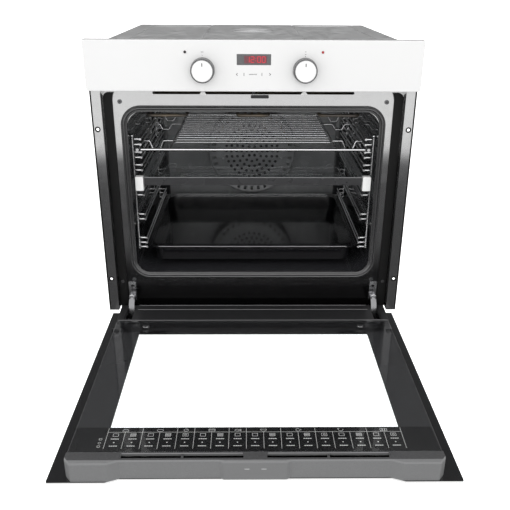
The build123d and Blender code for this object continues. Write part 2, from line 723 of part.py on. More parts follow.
with BuildPart() as glass_tray:
    add(baking_tray(GLASS_TRAY_Z, 21.0, GLASS, TRAY_FRONT, TRAY_FRONT + TRAY_LENGTH).part)
    with BuildSketch(Plane.XY.offset(GLASS_TRAY_Z - GLASS)):
        with Locations((0, 38.0)):
            Rectangle(2 * LIP_HALF, 14.0)
    extrude(amount=GLASS)
    with BuildSketch(Plane.XY.offset(GLASS_TRAY_Z - LIP_HEIGHT)):
        with Locations((0, 33.0)):
            Rectangle(2 * LIP_HALF, 4.0)
    extrude(amount=LIP_HEIGHT)
save(glass_tray, "glass_tray")

deep_tray = baking_tray(DEEP_RIM_Z, 37.0, SHEET, DEEP_FRONT, DEEP_FRONT + TRAY_LENGTH)
save(deep_tray, "deep_tray")

# ---------------------------------------------------------------- case
INSULATION_GAP = 2.5
WOOL_FRONT = 26.0

with BuildPart() as insulation:
    with BuildSketch(facing(WOOL_FRONT)):
        with Locations((0, CAVITY_MID)):
            Rectangle(544.0, 386.0)
            RectangleRounded(
                2 * (CAVITY_HALF + SHEET + INSULATION_GAP), 366.0, CAVITY_CORNER, mode=Mode.SUBTRACT
            )
    extrude(amount=-(CAVITY_BACK - WOOL_FRONT))
save(insulation, "insulation")

for side, x in (("left", -CASE_HALF), ("right", CASE_HALF - SHEET)):
    with BuildPart() as side_panel:
        with BuildSketch(Plane.YZ.offset(x)):
            with BuildLine():
                Polyline(
                    (FLOOR_Y + 1.6, CASE_STEP_Z + 0.1),
                    (CASE_STEP_Y + 0.1, CASE_STEP_Z + 0.1),
                    (CASE_STEP_Y + 0.1, SHEET + 0.1),
                    (CASE_BACK - SHEET - 0.1, SHEET + 0.1),
                    (CASE_BACK - SHEET - 0.1, CASE_TOP - SHEET - 0.1),
                    (FLOOR_Y + 1.6, CASE_TOP - SHEET - 0.1),
                    close=True,
                )
            make_face()
        extrude(amount=SHEET)
    save(side_panel, f"side_panel_{side}")

with BuildPart() as base_plate:
    with BuildSketch(Plane.XY):
        with Locations((0, (CASE_STEP_Y + CASE_BACK) / 2)):
            Rectangle(2 * CASE_HALF, CASE_BACK - CASE_STEP_Y)
    extrude(amount=SHEET)
    with BuildSketch(facing(CASE_STEP_Y)):
        with Locations((0, CASE_STEP_Z / 2)):
            Rectangle(2 * (CASE_HALF - SHEET - 0.1), CASE_STEP_Z)
        with Locations(*[(x, 30.0) for x in (-180.0, -60.0, 60.0, 180.0)]):
            SlotOverall(90.0, 8.0, mode=Mode.SUBTRACT)
    extrude(amount=-SHEET)
    with BuildSketch(Plane.XY.offset(CASE_STEP_Z - SHEET)):
        with Locations((0, (22.4 + CASE_STEP_Y) / 2)):
            Rectangle(2 * CASE_HALF, CASE_STEP_Y - 22.4)
    extrude(amount=SHEET)
save(base_plate, "base_plate")

DISH_R = 46.0
with BuildPart() as top_cover:
    with BuildSketch(Plane.XY.offset(CASE_TOP - SHEET)):
        with Locations((0, (CASE_BACK + 1.0) / 2)):
            Rectangle(2 * CASE_HALF, CASE_BACK - 1.0)
        with Locations((0, BLOWER_Y)):
            Circle(DISH_R, mode=Mode.SUBTRACT)
    extrude(amount=SHEET)
    with BuildSketch(Plane.XY.offset(CASE_TOP - 5.0)):
        with Locations((0, BLOWER_Y)):
            Circle(DISH_R + SHEET)
            Circle(DISH_R, mode=Mode.SUBTRACT)
    extrude(amount=5.0)
    with BuildSketch(Plane.XY.offset(CASE_TOP - 5.0)):
        with Locations((0, BLOWER_Y)):
            Circle(DISH_R + SHEET)
    extrude(amount=SHEET)
save(top_cover, "top_cover")

GLAND = (200.0, 90.0)
GLAND_R = 9.0
CABLE_R = 4.2
LOUVRE_X = (-110.0, 0.0, 110.0)
with BuildPart() as rear_cover:
    with BuildSketch(facing(CASE_BACK - SHEET)):
        with Locations((0, CASE_TOP / 2)):
            Rectangle(2 * (CASE_HALF - SHEET - 0.1), CASE_TOP - 2 * SHEET - 0.2)
        with Locations(*[(x, z) for x in LOUVRE_X for z in range(470, 551, 16)]):
            SlotOverall(80.0, 5.0, mode=Mode.SUBTRACT)
        with Locations(*[(x, z) for x in LOUVRE_X for z in range(40, 89, 16)]):
            SlotOverall(80.0, 5.0, mode=Mode.SUBTRACT)
        with Locations(GLAND):
            Circle(GLAND_R, mode=Mode.SUBTRACT)
    extrude(amount=-SHEET)
save(rear_cover, "rear_cover")

with BuildPart() as cable_gland:
    with BuildSketch(facing(CASE_BACK + 0.1)):
        with Locations(GLAND):
            RegularPolygon(13.0, 6)
    extrude(amount=-5.0)
    with BuildSketch(facing(CASE_BACK - 10.0)):
        with Locations(GLAND):
            Circle(GLAND_R - 0.1)
    extrude(amount=-24.0)
    with BuildSketch(facing(CASE_BACK - 10.0)):
        with Locations(GLAND):
            Circle(CABLE_R)
    extrude(amount=-24.0, mode=Mode.SUBTRACT)
save(cable_gland, "cable_gland")

with BuildPart() as terminal_box:
    with BuildSketch(facing(CASE_BACK - 14.0)):
        with Locations(GLAND):
            RectangleRounded(84.0, 60.0, 4.0)
    extrude(amount=34.0)
save(terminal_box, "terminal_box")

# ---------------------------------------------------------------- cooling air
DUCT_LOW = 505.0
DUCT_HIGH = 528.0
BLOWER_R = 72.0
BLOWER_HEIGHT = 40.0
OUTLET_Y = BLOWER_Y - 45.0
OUTLET_WIDTH = 96.0
ROTOR_Z = DUCT_LOW + 6.0
ROTOR_R = 58.0
BLOWER_SHAFT_R = 3.0

with BuildPart() as air_duct:
    with BuildSketch(Plane.XY.offset(DUCT_LOW)):
        with BuildLine():
            Polyline((-196, 31), (196, 31), (196, 70), (50, 262), (-50, 262), (-196, 70), close=True)
        make_face()
    extrude(amount=DUCT_HIGH - DUCT_LOW)
    with BuildSketch(facing(32.0)):
        with Locations((0, (DUCT_LOW + DUCT_HIGH) / 2)):
            Rectangle(380.0, DUCT_HIGH - DUCT_LOW - 2 * SHEET)
    extrude(amount=10.0, mode=Mode.SUBTRACT)
    with BuildSketch(Plane.XY.offset(DUCT_LOW + SHEET)):
        with BuildLine():
            Polyline((-194, 30), (194, 30), (194, 70), (48, 264), (-48, 264), (-194, 70), close=True)
        make_face()
    extrude(amount=DUCT_HIGH - DUCT_LOW - 2 * SHEET, mode=Mode.SUBTRACT)
save(air_duct, "air_duct")

with BuildPart() as blower_housing:
    with BuildSketch(Plane.XY.offset(DUCT_LOW)):
        with Locations((0, BLOWER_Y)):
            Circle(BLOWER_R)
        with Locations((0, OUTLET_Y)):
            Rectangle(OUTLET_WIDTH, 74.0)
    extrude(amount=BLOWER_HEIGHT)
    with BuildSketch(Plane.XY.offset(DUCT_LOW + SHEET)):
        with Locations((0, BLOWER_Y)):
            Circle(BLOWER_R - SHEET)
        with Locations((0, OUTLET_Y)):
            Rectangle(OUTLET_WIDTH - 2 * SHEET, 78.0)
    extrude(amount=BLOWER_HEIGHT - 2 * SHEET, mode=Mode.SUBTRACT)
    with BuildSketch(Plane.XY.offset(DUCT_LOW + 30.0)):
        with Locations((0, BLOWER_Y)):
            Circle(40.0)
    extrude(amount=20.0, mode=Mode.SUBTRACT)
save(blower_housing, "blower_housing")

with BuildPart() as blower_impeller:
    with BuildSketch(Plane.XY.offset(ROTOR_Z)):
        with Locations((0, BLOWER_Y)):
            Circle(ROTOR_R)
    extrude(amount=SHEET)
    with BuildSketch(Plane.XY.offset(ROTOR_Z + 1.0)):
        with Locations((0, BLOWER_Y)):
            with PolarLocations(ROTOR_R - 8.0, 24):
                Rectangle(14.0, 1.0)
    extrude(amount=24.0)
    with BuildSketch(Plane.XY.offset(ROTOR_Z)):
        with Locations((0, BLOWER_Y)):
            Circle(10.0)
    extrude(amount=26.0)
    with BuildSketch(Plane.XY.offset(ROTOR_Z)):
        with Locations((0, BLOWER_Y)):
            Circle(BLOWER_SHAFT_R)
    extrude(amount=50.0)
save(blower_impeller, "blower_impeller")

with BuildPart() as blower_motor:
    with BuildSketch(Plane.XY.offset(548.0)):
        with Locations((0, BLOWER_Y)):
            Circle(34.0)
    extrude(amount=30.0)
    with BuildSketch(Plane.XY.offset(545.4)):
        with Locations((0, BLOWER_Y)):
            Rectangle(110.0, 20.0)
    extrude(amount=3.0)
    with BuildSketch(Plane.XY.offset(540.0)):
        with Locations((0, BLOWER_Y)):
            Circle(BLOWER_SHAFT_R + 0.05)
    extrude(amount=24.0, mode=Mode.SUBTRACT)
save(blower_motor, "blower_motor")

# ---------------------------------------------------------------- door, lying open
RECESS = 7.0  # the middle of the door's top edge is set back by this much
RECESS_OUT = 214.0
RECESS_IN = 196.0
OPENING_HALF = 232.0
OPENING_REAR = -42.0
OPENING_FRONT = -391.0
OPENING_MID = (OPENING_REAR + OPENING_FRONT) / 2

with BuildPart() as door_outer_panel:
    with BuildSketch(Plane.XY.offset(LEAF_Z)):
        with BuildLine():
            Polyline(
                (-HALF, DOOR_REAR),
                (-HALF, DOOR_FRONT),
                (-RECESS_OUT, DOOR_FRONT),
                (-RECESS_IN, DOOR_FRONT + RECESS),
                (RECESS_IN, DOOR_FRONT + RECESS),
                (RECESS_OUT, DOOR_FRONT),
                (HALF, DOOR_FRONT),
                (HALF, DOOR_REAR),
                close=True,
            )
        make_face()
        with Locations((0, OPENING_MID)):
            RectangleRounded(
                2 * OPENING_HALF, OPENING_REAR - OPENING_FRONT, 6.0, mode=Mode.SUBTRACT
            )
    extrude(amount=GLASS)
    fillet(door_outer_panel.edges().filter_by(Axis.Z).group_by(Axis.Y)[0], radius=3.0)
    chamfer(door_outer_panel.faces().sort_by(Axis.Z)[0].outer_wire().edges(), length=0.5)
save(door_outer_panel, "door_outer_panel")

with BuildPart() as door_window:
    with BuildSketch(Plane.XY.offset(LEAF_Z + 0.1)):
        with Locations((0, OPENING_MID)):
            RectangleRounded(
                2 * OPENING_HALF - 0.4, OPENING_REAR - OPENING_FRONT - 0.4, 5.8
            )
    extrude(amount=GLASS - 0.2)
save(door_window, "door_window")

SLOT_IN = HINGE_X - 8.0
SLOT_OUT = HINGE_X + 8.0
SLOT_FRONT = -59.0
GLASS_UNDER = TOP_Z - GLASS
FOOT_MID = (BODY_REAR + FOOT_FRONT) / 2
POCKET_TOP = 62.5

with BuildPart() as door_foot:
    with BuildSketch(Plane.XY.offset(BODY_Z + 0.1)):
        with Locations((0, FOOT_MID)):
            Rectangle(2 * BODY_HALF, BODY_REAR - FOOT_FRONT)
    extrude(amount=TOP_Z - BODY_Z - 0.1)
    fillet(door_foot.edges().filter_by(Axis.X).group_by(Axis.Z)[-1].group_by(Axis.Y)[-1], 3.0)
    with BuildSketch(Plane.XY.offset(BODY_Z + 0.1)):
        with Locations((0, FOOT_MID)):
            Rectangle(2 * SLOT_IN - 6.0, BODY_REAR - FOOT_FRONT - 5.0)
    extrude(amount=TOP_Z - BODY_Z - 2.6, mode=Mode.SUBTRACT)
    with BuildSketch(Plane.XY.offset(BODY_Z)):
        with Locations(*[(x, SLOT_FRONT / 2 + 10.0) for x in sides(HINGE_X)]):
            Rectangle(SLOT_OUT - SLOT_IN, 20.0 - SLOT_FRONT)
    extrude(amount=60.0, mode=Mode.SUBTRACT)
    with BuildSketch(Plane.XY.offset(BODY_Z)):
        with Locations(*[(x, SLOT_FRONT - 3.0) for x in sides(HINGE_X)]):
            Rectangle(SLOT_OUT - SLOT_IN, 8.0)
    extrude(amount=POCKET_TOP - BODY_Z, mode=Mode.SUBTRACT)
save(door_foot, "door_foot")

PROFILE_MID = (BODY_Z + GLASS_UNDER) / 2
PROFILE_LENGTH = FOOT_FRONT - TRIM_REAR - 0.3
PROFILE_WIDTH = 28.0
GLAZED_MID = (FOOT_FRONT + TRIM_REAR) / 2
MIDDLE_GLASS_HALF = 241.8

with BuildPart() as door_profiles:
    with BuildSketch(facing(FOOT_FRONT - 0.1)):
        with Locations(*[(x, PROFILE_MID) for x in sides(BODY_HALF - PROFILE_WIDTH / 2)]):
            Rectangle(PROFILE_WIDTH, GLASS_UNDER - BODY_Z - 0.2)
    extrude(amount=PROFILE_LENGTH)
    with BuildSketch(facing(FOOT_FRONT)):
        with Locations(*[(x, PROFILE_MID) for x in sides(BODY_HALF - 22.0)]):
            Rectangle(PROFILE_WIDTH - 8.0, GLASS_UNDER - BODY_Z - 3.4)
    extrude(amount=PROFILE_LENGTH + 1.0, mode=Mode.SUBTRACT)
save(door_profiles, "door_profiles")

with BuildPart() as hinge_bodies:
    with BuildSketch(facing(1.0)):
        with Locations(*[(x + dx, 50.0) for x in sides(HINGE_X) for dx in sides(6.9)]):
            Rectangle(1.4, 24.0)
    extrude(amount=140.0)
    with BuildSketch(facing(FOOT_FRONT - 6.0)):
        with Locations(*[(x, 39.0) for x in sides(HINGE_X)]):
            Rectangle(15.2, 1.4)
    extrude(amount=64.0)
    for x in sides(HINGE_X):
        with BuildSketch(Plane.YZ.offset(x - 10.0)):
            with Locations((PIVOT_Y, PIVOT_Z)):
                Circle(PIN_R)
        extrude(amount=20.0, mode=Mode.SUBTRACT)
save(hinge_bodies, "hinge_bodies")

PIN_HALF = 7.8

with BuildPart() as hinge_pins:
    with BuildSketch(Plane.YZ.offset(-HINGE_X - PIN_HALF)):
        with Locations((PIVOT_Y, PIVOT_Z)):
            Circle(PIN_R)
    extrude(amount=2 * PIN_HALF)
    with BuildSketch(Plane.YZ.offset(HINGE_X - PIN_HALF)):
        with Locations((PIVOT_Y, PIVOT_Z)):
            Circle(PIN_R)
    extrude(amount=2 * PIN_HALF)
save(hinge_pins, "hinge_pins")

with BuildPart() as door_inner_glass:
    with BuildSketch(Plane.XY.offset(GLASS_UNDER)):
        with Locations((0, GLAZED_MID)):
            Rectangle(2 * BODY_HALF - 2.0, FOOT_FRONT - TRIM_REAR - 0.6)
    extrude(amount=GLASS)
    chamfer(door_inner_glass.faces().sort_by(Axis.Z)[-1].edges(), length=0.5)
save(door_inner_glass, "door_inner_glass")

with BuildPart() as door_middle_glass:
    with BuildSketch(Plane.XY.offset(50.0)):
        with Locations((0, GLAZED_MID)):
            Rectangle(2 * MIDDLE_GLASS_HALF, FOOT_FRONT - TRIM_REAR - 8.0)
    extrude(amount=3.0)
save(door_middle_glass, "door_middle_glass")

TRIM_LOBE_Y = -473.5  # the trim's two forward lobes
TRIM_LOBE_OUT = 262.0
TRIM_LOBE_IN = 209.0
TRIM_STEP_X = 193.0
TRIM_END_Y = -462.0

with BuildPart() as door_top_trim:
    with BuildSketch(Plane.XY.offset(BODY_Z + 0.1)):
        with BuildLine():
            Polyline(
                (-BODY_HALF, TRIM_REAR),
                (-BODY_HALF, TRIM_END_Y),
                (-TRIM_LOBE_OUT, TRIM_LOBE_Y),
                (-TRIM_LOBE_IN, TRIM_LOBE_Y),
                (-TRIM_STEP_X, BODY_FRONT + 3.0),
                (-50.0, BODY_FRONT + 3.0),
                (-45.0, BODY_FRONT),
                (45.0, BODY_FRONT),
                (50.0, BODY_FRONT + 3.0),
                (TRIM_STEP_X, BODY_FRONT + 3.0),
                (TRIM_LOBE_IN, TRIM_LOBE_Y),
                (TRIM_LOBE_OUT, TRIM_LOBE_Y),
                (BODY_HALF, TRIM_END_Y),
                (BODY_HALF, TRIM_REAR),
                close=True,
            )
        make_face()
    extrude(amount=TOP_Z - BODY_Z - 0.1)
    with BuildSketch(Plane.XY.offset(BODY_Z)):
        with Locations((0, TRIM_REAR - 6.0)):
            Rectangle(2 * BODY_HALF - 8.0, 18.0)
    extrude(amount=TOP_Z - BODY_Z - GLASS, mode=Mode.SUBTRACT)
    with BuildSketch(Plane.XY.offset(BODY_Z)):
        with Locations(*[(x, -457.0) for x in (-149.0, -60.0, 60.0, 149.0)]):
            Rectangle(86.0, 9.0)
    extrude(amount=60.0, mode=Mode.SUBTRACT)
    front_top = door_top_trim.edges().filter_by(GeomType.LINE).group_by(Axis.Z)[-1]
    chamfer(front_top.filter_by_position(Axis.Y, -480.0, -461.9), length=2.0)
save(door_top_trim, "door_top_trim")

with BuildPart() as glass_clips:
    with BuildSketch(Plane.XY.offset(TOP_Z)):
        with Locations(*[(x, -87.0) for x in sides(209.0)]):
            RectangleRounded(12.0, 7.0, 1.5)
    extrude(amount=1.6)
save(glass_clips, "glass_clips")

HANDLE_Y = FOLD - 443.0
HANDLE_Z = LEAF_Z - 34.0
HANDLE_R = 8.0
HANDLE_HALF = 235.0
POST_X = 205.0

with BuildPart() as door_handle:
    with BuildSketch(Plane.YZ.offset(-HANDLE_HALF)):
        with Locations((HANDLE_Y, HANDLE_Z)):
            Circle(HANDLE_R)
    extrude(amount=2 * HANDLE_HALF)
    fillet(door_handle.edges().filter_by(GeomType.CIRCLE), radius=2.5)
save(door_handle, "door_handle")

with BuildPart() as handle_posts:
    with BuildSketch(Plane.XY.offset(LEAF_Z - 0.1)):
        with Locations(*[(x, HANDLE_Y) for x in sides(POST_X)]):
            SlotOverall(26.0, 14.0)
    extrude(amount=-36.0)
    with BuildSketch(Plane.YZ.offset(-HANDLE_HALF - 5.0)):
        with Locations((HANDLE_Y, HANDLE_Z)):
            Circle(HANDLE_R + 0.02)
    extrude(amount=2 * HANDLE_HALF + 10.0, mode=Mode.SUBTRACT)
save(handle_posts, "handle_posts")
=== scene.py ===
import logging
import math
from dataclasses import dataclass
from enum import Enum

import bpy
import numpy as np
from mathutils import Matrix


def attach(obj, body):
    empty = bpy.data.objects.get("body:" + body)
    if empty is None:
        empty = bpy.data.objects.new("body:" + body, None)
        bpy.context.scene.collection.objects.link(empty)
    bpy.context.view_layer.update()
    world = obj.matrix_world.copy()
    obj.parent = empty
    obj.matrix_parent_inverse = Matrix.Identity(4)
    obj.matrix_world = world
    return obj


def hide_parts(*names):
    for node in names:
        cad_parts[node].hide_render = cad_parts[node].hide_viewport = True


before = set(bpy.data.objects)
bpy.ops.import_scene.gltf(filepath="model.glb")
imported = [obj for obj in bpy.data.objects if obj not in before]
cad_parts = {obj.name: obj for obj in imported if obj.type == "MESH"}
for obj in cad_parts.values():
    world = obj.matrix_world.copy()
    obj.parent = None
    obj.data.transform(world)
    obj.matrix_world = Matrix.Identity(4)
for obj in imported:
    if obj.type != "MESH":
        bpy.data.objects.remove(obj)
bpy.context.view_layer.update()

# A built-in oven with its drop-down door: finishes, printed marks and small fittings.
# Metres. +X is right, +Y runs from the front flange into the housing, +Z is up.

LOG = logging.getLogger("oven")
MM = 0.001
HAIR = 0.02 * MM  # printed ink stands this much proud

RIGHT, BACK, UP = (1, 0, 0), (0, 1, 0), (0, 0, 1)
HINGE_X = 0.25  # each hinge's distance from the centre line
SIGNS = (-1, 1)  # left and right

Colour = tuple[float, float, float]


# ---------------------------------------------------------------- shader maths
class Value:
    """A shader socket that arithmetic can be written on; each operator adds one Math node."""

    def __init__(self, graph: "Graph", socket: bpy.types.NodeSocket) -> None:
        """Keep the graph and the socket."""
        self.graph = graph
        self.socket = socket

    def _math(self, operation: str, first: object, second: object) -> "Value":
        """Add a Math node.

        Args:
            operation: the Math node's operation.
            first: its first input, a Value or a number.
            second: its second input, a Value or a number.

        Returns:
            The node's result.
        """
        return self.graph.node("ShaderNodeMath", {"operation": operation}, {0: first, 1: second})

    def __add__(self, other: object) -> "Value":
        """Sum."""
        return self._math("ADD", self, other)

    __radd__ = __add__

    def __rsub__(self, other: object) -> "Value":
        """A number less the value."""
        return self._math("SUBTRACT", other, self)

    def __mul__(self, other: object) -> "Value":
        """Product."""
        return self._math("MULTIPLY", self, other)

    __rmul__ = __mul__

    def size(self) -> "Value":
        """Absolute value."""
        return self._math("ABSOLUTE", self, 0.0)


class Graph:
    """The node tree of one material."""

    def __init__(self, name: str) -> None:
        """Make the material with an empty tree."""
        self.material = bpy.data.materials.new(name)
        self.material.use_nodes = True
        self.tree = self.material.node_tree
        self.tree.nodes.clear()

    def node(
        self, kind: str, settings: dict | None = None, inputs: dict | None = None, out: object = 0
    ) -> Value:
        """Add any node.

        Args:
            kind: the node's type.
            settings: its properties; "stops" is a colour ramp's list of (place, colour).
            inputs: its sockets by name or number, each a number, a colour or a Value.
            out: the output socket wanted, by name or number.

        Returns:
            That output.
        """
        made = self.tree.nodes.new(kind)
        for key, setting in (settings or {}).items():
            if key == "stops":
                ramp = made.color_ramp
                while len(ramp.elements) < len(setting):
                    ramp.elements.new(0.5)
                for element, (place, colour) in zip(ramp.elements, setting):
                    element.position = place
                    element.color = (*colour, 1.0)
            else:
                setattr(made, key, setting)
        for key, given in (inputs or {}).items():
            if isinstance(given, Value):
                self.tree.links.new(given.socket, made.inputs[key])
            elif isinstance(given, tuple) and len(given) == 3 and made.inputs[key].type == "RGBA":
                made.inputs[key].default_value = (*given, 1.0)
            else:
                made.inputs[key].default_value = given
        return Value(self, made.outputs[out])

    def place(self, scale: tuple[float, float, float] = (1, 1, 1)) -> Value:
        """Object coordinates, in metres, stretched by scale along each axis."""
        found = self.node("ShaderNodeTexCoord", out="Object")
        return self.node("ShaderNodeMapping", None, {"Vector": found, "Scale": scale})

    def axis(self, name: str) -> Value:
        """One Object coordinate, in metres.

        Args:
            name: "X", "Y" or "Z".

        Returns:
            That coordinate.
        """
        found = self.node("ShaderNodeTexCoord", out="Object")
        return self.node("ShaderNodeSeparateXYZ", None, {0: found}, name)

    def noise(self, scale: float, detail: float = 2.0, stretch: tuple = (1, 1, 1)) -> Value:
        """Noise on Object coordinates.

        Args:
            scale: cycles per metre.
            detail: octaves.
            stretch: how much finer it is along each axis.

        Returns:
            The noise, about 0 to 1.
        """
        wanted = {"Vector": self.place(stretch), "Scale": scale, "Detail": detail}
        return self.node("ShaderNodeTexNoise", None, wanted, "Fac")

    def cells(self, scale: float, out: str = "Distance") -> Value:
        """Voronoi cells on Object coordinates, scale of them to a metre."""
        return self.node("ShaderNodeTexVoronoi", None, {"Vector": self.place(), "Scale": scale}, out)

    def ramp(self, value: Value, low: float, high: float, start: float = 0.0, end: float = 1.0) -> Value:
        """Smooth step.

        Args:
            value: what is stepped.
            low: where the step starts.
            high: where it ends.
            start: the result below it.
            end: the result above it.

        Returns:
            The stepped value.
        """
        wanted = {"Value": value, "From Min": low, "From Max": high, "To Min": start, "To Max": end}
        return self.node("ShaderNodeMapRange", {"interpolation_type": "SMOOTHSTEP"}, wanted)

    def blend(self, share: object, first: object, second: object) -> Value:
        """Mix two colours.

        Args:
            share: how much of the second, a Value or a number.
            first: a colour or a Value.
            second: a colour or a Value.

        Returns:
            The mixed colour.
        """
        settings = {"data_type": "RGBA"}
        return self.node("ShaderNodeMix", settings, {"Factor": share, 6: first, 7: second}, 2)

    def bump(self, height: Value, depth: float, strength: float = 1.0) -> Value:
        """A normal from a height.

        Args:
            height: the height, 0 to 1.
            depth: how far 1 stands out, in metres.
            strength: how much of it shows.

        Returns:
            The normal.
        """
        return self.node("ShaderNodeBump", None, {"Height": height, "Distance": depth, "Strength": strength})

    def solid(self, **sockets: object) -> Value:
        """A Principled shader; socket names have _ for each space."""
        wanted = {name.replace("_", " "): given for name, given in sockets.items()}
        return self.node("ShaderNodeBsdfPrincipled", None, wanted)

    def show(self, shader: Value) -> None:
        """Connect a shader to the output."""
        output = self.tree.nodes.new("ShaderNodeOutputMaterial")
        self.tree.links.new(shader.socket, output.inputs["Surface"])


# ---------------------------------------------------------------- finishes
@dataclass(frozen=True)
class Finish:
    """A finish: its own name and the record's slot that it belongs to."""

    name: str
    slot: str

    def shade(self, g: Graph) -> Value:
        """Build the shader; each kind of finish has its own.

        Args:
            g: the material's node tree.

        Returns:
            The shader.
        """
        raise NotImplementedError

    def material(self) -> bpy.types.Material:
        """The material, made the first time that it is asked for."""
        known = bpy.data.materials.get(self.name)
        if known is None:
            g = Graph(self.name)
            g.show(self.shade(g))
            known = g.material
        return known


@dataclass(frozen=True)
class Paint(Finish):
    """Gloss paint or enamel: orange peel, a fine speckle and uneven gloss under a clear coat."""

    colour: Colour
    roughness: float = 0.2
    speckle: float = 0.0
    speckle_colour: Colour = (0.5, 0.5, 0.5)
    coat: float = 0.6
    peel: float = 0.02 * MM

    def shade(self, g: Graph) -> Value:
        """Speckle where small noise peaks; roughness follows slow noise."""
        dots = g.ramp(g.noise(2600.0, 1.0), 0.62, 0.7) * self.speckle
        tone = g.ramp(g.noise(9.0, 3.0), 0.3, 0.7, 0.0, 0.06)
        soft = tuple(min(1.0, c * 1.12 + 0.004) for c in self.colour)
        base = g.blend(dots, g.blend(tone, self.colour, soft), self.speckle_colour)
        rough = g.ramp(g.noise(40.0, 4.0), 0.3, 0.75, self.roughness * 0.85, self.roughness * 1.25)
        normal = g.bump(g.noise(420.0, 2.0), self.peel)
        return g.solid(
            Base_Color=base, Roughness=rough, Normal=normal, Coat_Weight=self.coat, Coat_Roughness=0.05
        )


@dataclass(frozen=True)
class PaintedLightEnamel(Finish):
    """Metal under a glossy tinted enamel, with painted light: a painted reflection makes it bright at the top,
    and painted shade darkens it towards the bottom.
    """

    # colour is the painted reflection at the top; middle and low are painted shade, darker lower down; flange
    # is the flange strips' tone lower down.
    colour: Colour
    middle: Colour
    low: Colour
    flange: Colour
    roughness: float
    metal: float
    edge_x: float = 0.278

    def shade(self, g: Graph) -> Value:
        """The painted light follows the height; the flange strips beyond edge_x keep their own tone lower down.
        """
        haze = g.ramp(g.noise(55.0, 4.0), 0.35, 0.8, self.roughness * 0.8, self.roughness * 1.3)
        height = g.axis("Z")
        lower = g.blend(g.ramp(height, 0.125, 0.215), self.low, self.middle)
        strip = g.ramp(g.axis("X").size(), self.edge_x - 0.5 * MM, self.edge_x)
        lower = g.blend(strip, lower, self.flange)
        base = g.blend(g.ramp(height, 0.362, 0.408), lower, self.colour)
        normal = g.bump(g.noise(22.0, 2.0), 0.18 * MM)
        return g.solid(Base_Color=base, Roughness=haze, Metallic=self.metal, Normal=normal)


@dataclass(frozen=True)
class PaintedGlass(Finish):
    """Glass painted on its back: one colour outside, another inside, split at a height."""

    outer: Colour
    inner: Colour
    split: float

    def shade(self, g: Graph) -> Value:
        """The inner colour shows above the split height of the open door."""
        back = g.ramp(g.axis("Z"), self.split - 0.05 * MM, self.split + 0.05 * MM)
        base = g.blend(back, self.outer, self.inner)
        rough = g.ramp(g.noise(30.0, 3.0), 0.3, 0.8, 0.03, 0.08)
        return g.solid(Base_Color=base, Roughness=rough, Coat_Weight=0.5, Coat_Roughness=0.02)


@dataclass(frozen=True)
class ClearGlass(Finish):
    """Clear glass: what is behind it shows through, and more is mirrored at a slant."""

    tint: Colour
    gloss: Colour = (1.0, 1.0, 1.0)
    index: float = 1.5
    smear: float = 0.02

    def shade(self, g: Graph) -> Value:
        """A transparent and a mirror shader, mixed by the Fresnel share of each outer face."""
        through = g.node("ShaderNodeBsdfTransparent", None, {"Color": self.tint})
        film = g.ramp(g.noise(14.0, 5.0), 0.45, 0.8, self.smear, self.smear + 0.03)
        mirror = g.solid(Base_Color=self.gloss, Metallic=1.0, Roughness=film)
        inside = g.node("ShaderNodeNewGeometry", out="Backfacing")
        share = g.node("ShaderNodeFresnel", None, {"IOR": self.index}) * (1 - inside)
        return g.node("ShaderNodeMixShader", None, {0: share, 1: through, 2: mirror})


@dataclass(frozen=True)
class Moulding(Finish):
    """Moulded plastic or rubber with a fine spark texture."""

    colour: Colour
    roughness: float = 0.42
    grain: float = 0.02 * MM
    speed: float = 1800.0
    index: float = 1.5

    def shade(self, g: Graph) -> Value:
        """Grain height from fine noise, with slightly polished patches from handling."""
        patch = g.ramp(g.noise(24.0, 4.0), 0.35, 0.75)
        rough = patch * (self.roughness * 0.25) + self.roughness * 0.85
        light = tuple(min(1.0, c * 1.15 + 0.003) for c in self.colour)
        base = g.blend(g.ramp(g.noise(self.speed, 2.0), 0.4, 0.7, 0.0, 0.5), self.colour, light)
        normal = g.bump(g.noise(self.speed, 2.0), self.grain)
        return g.solid(Base_Color=base, Roughness=rough, IOR=self.index, Normal=normal)


@dataclass(frozen=True)
class ShadedTopMoulding(Moulding):
    """Moulded trim with painted shade: its face beside the glass is painted darker than its front."""

    # dark is the painted shade on the face beside the glass.
    dark: Colour = (0.03, 0.03, 0.032)
    edge_y: float = 0.0
    edge_z: float = 0.0

    def shade(self, g: Graph) -> Value:
        """Painted shade above edge_z and behind edge_y; the rest in the main colour."""
        top = g.ramp(g.axis("Z"), self.edge_z - 0.2 * MM, self.edge_z)
        behind = g.ramp(g.axis("Y"), self.edge_y - 0.2 * MM, self.edge_y + 0.2 * MM)
        fine = g.ramp(g.noise(self.speed, 2.0), 0.4, 0.7, 0.0, 0.12)
        base = g.blend(fine, g.blend(top * behind, self.colour, self.dark), (0.5, 0.5, 0.5))
        rough = g.ramp(g.noise(24.0, 4.0), 0.3, 0.8, self.roughness * 0.85, self.roughness * 1.15)
        return g.solid(Base_Color=base, Roughness=rough, Normal=g.bump(g.noise(self.speed, 2.0), self.grain))


class Grain(Enum):
    """The way that a brushed finish runs."""

    ALONG_X = (0.02, 1.0, 1.0)
    ALONG_Y = (1.0, 0.02, 1.0)
    NONE = (1.0, 1.0, 1.0)


@dataclass(frozen=True)
class BrushedMetal(Finish):
    """Brushed or turned metal with scratches along its grain."""

    colour: Colour
    grain: Grain = Grain.NONE
    roughness: float = 0.26

    def shade(self, g: Graph) -> Value:
        """Stretched noise gives the brush lines in tone, gloss and height."""
        lines = g.noise(2400.0, 3.0, self.grain.value)
        dark = tuple(c * 0.78 for c in self.colour)
        base = g.blend(g.ramp(lines, 0.35, 0.7), self.colour, dark)
        rough = g.ramp(lines, 0.3, 0.75, self.roughness * 0.75, self.roughness * 1.35)
        return g.solid(
            Base_Color=base, Roughness=rough, Metallic=1.0, Normal=g.bump(lines, 0.012 * MM)
        )


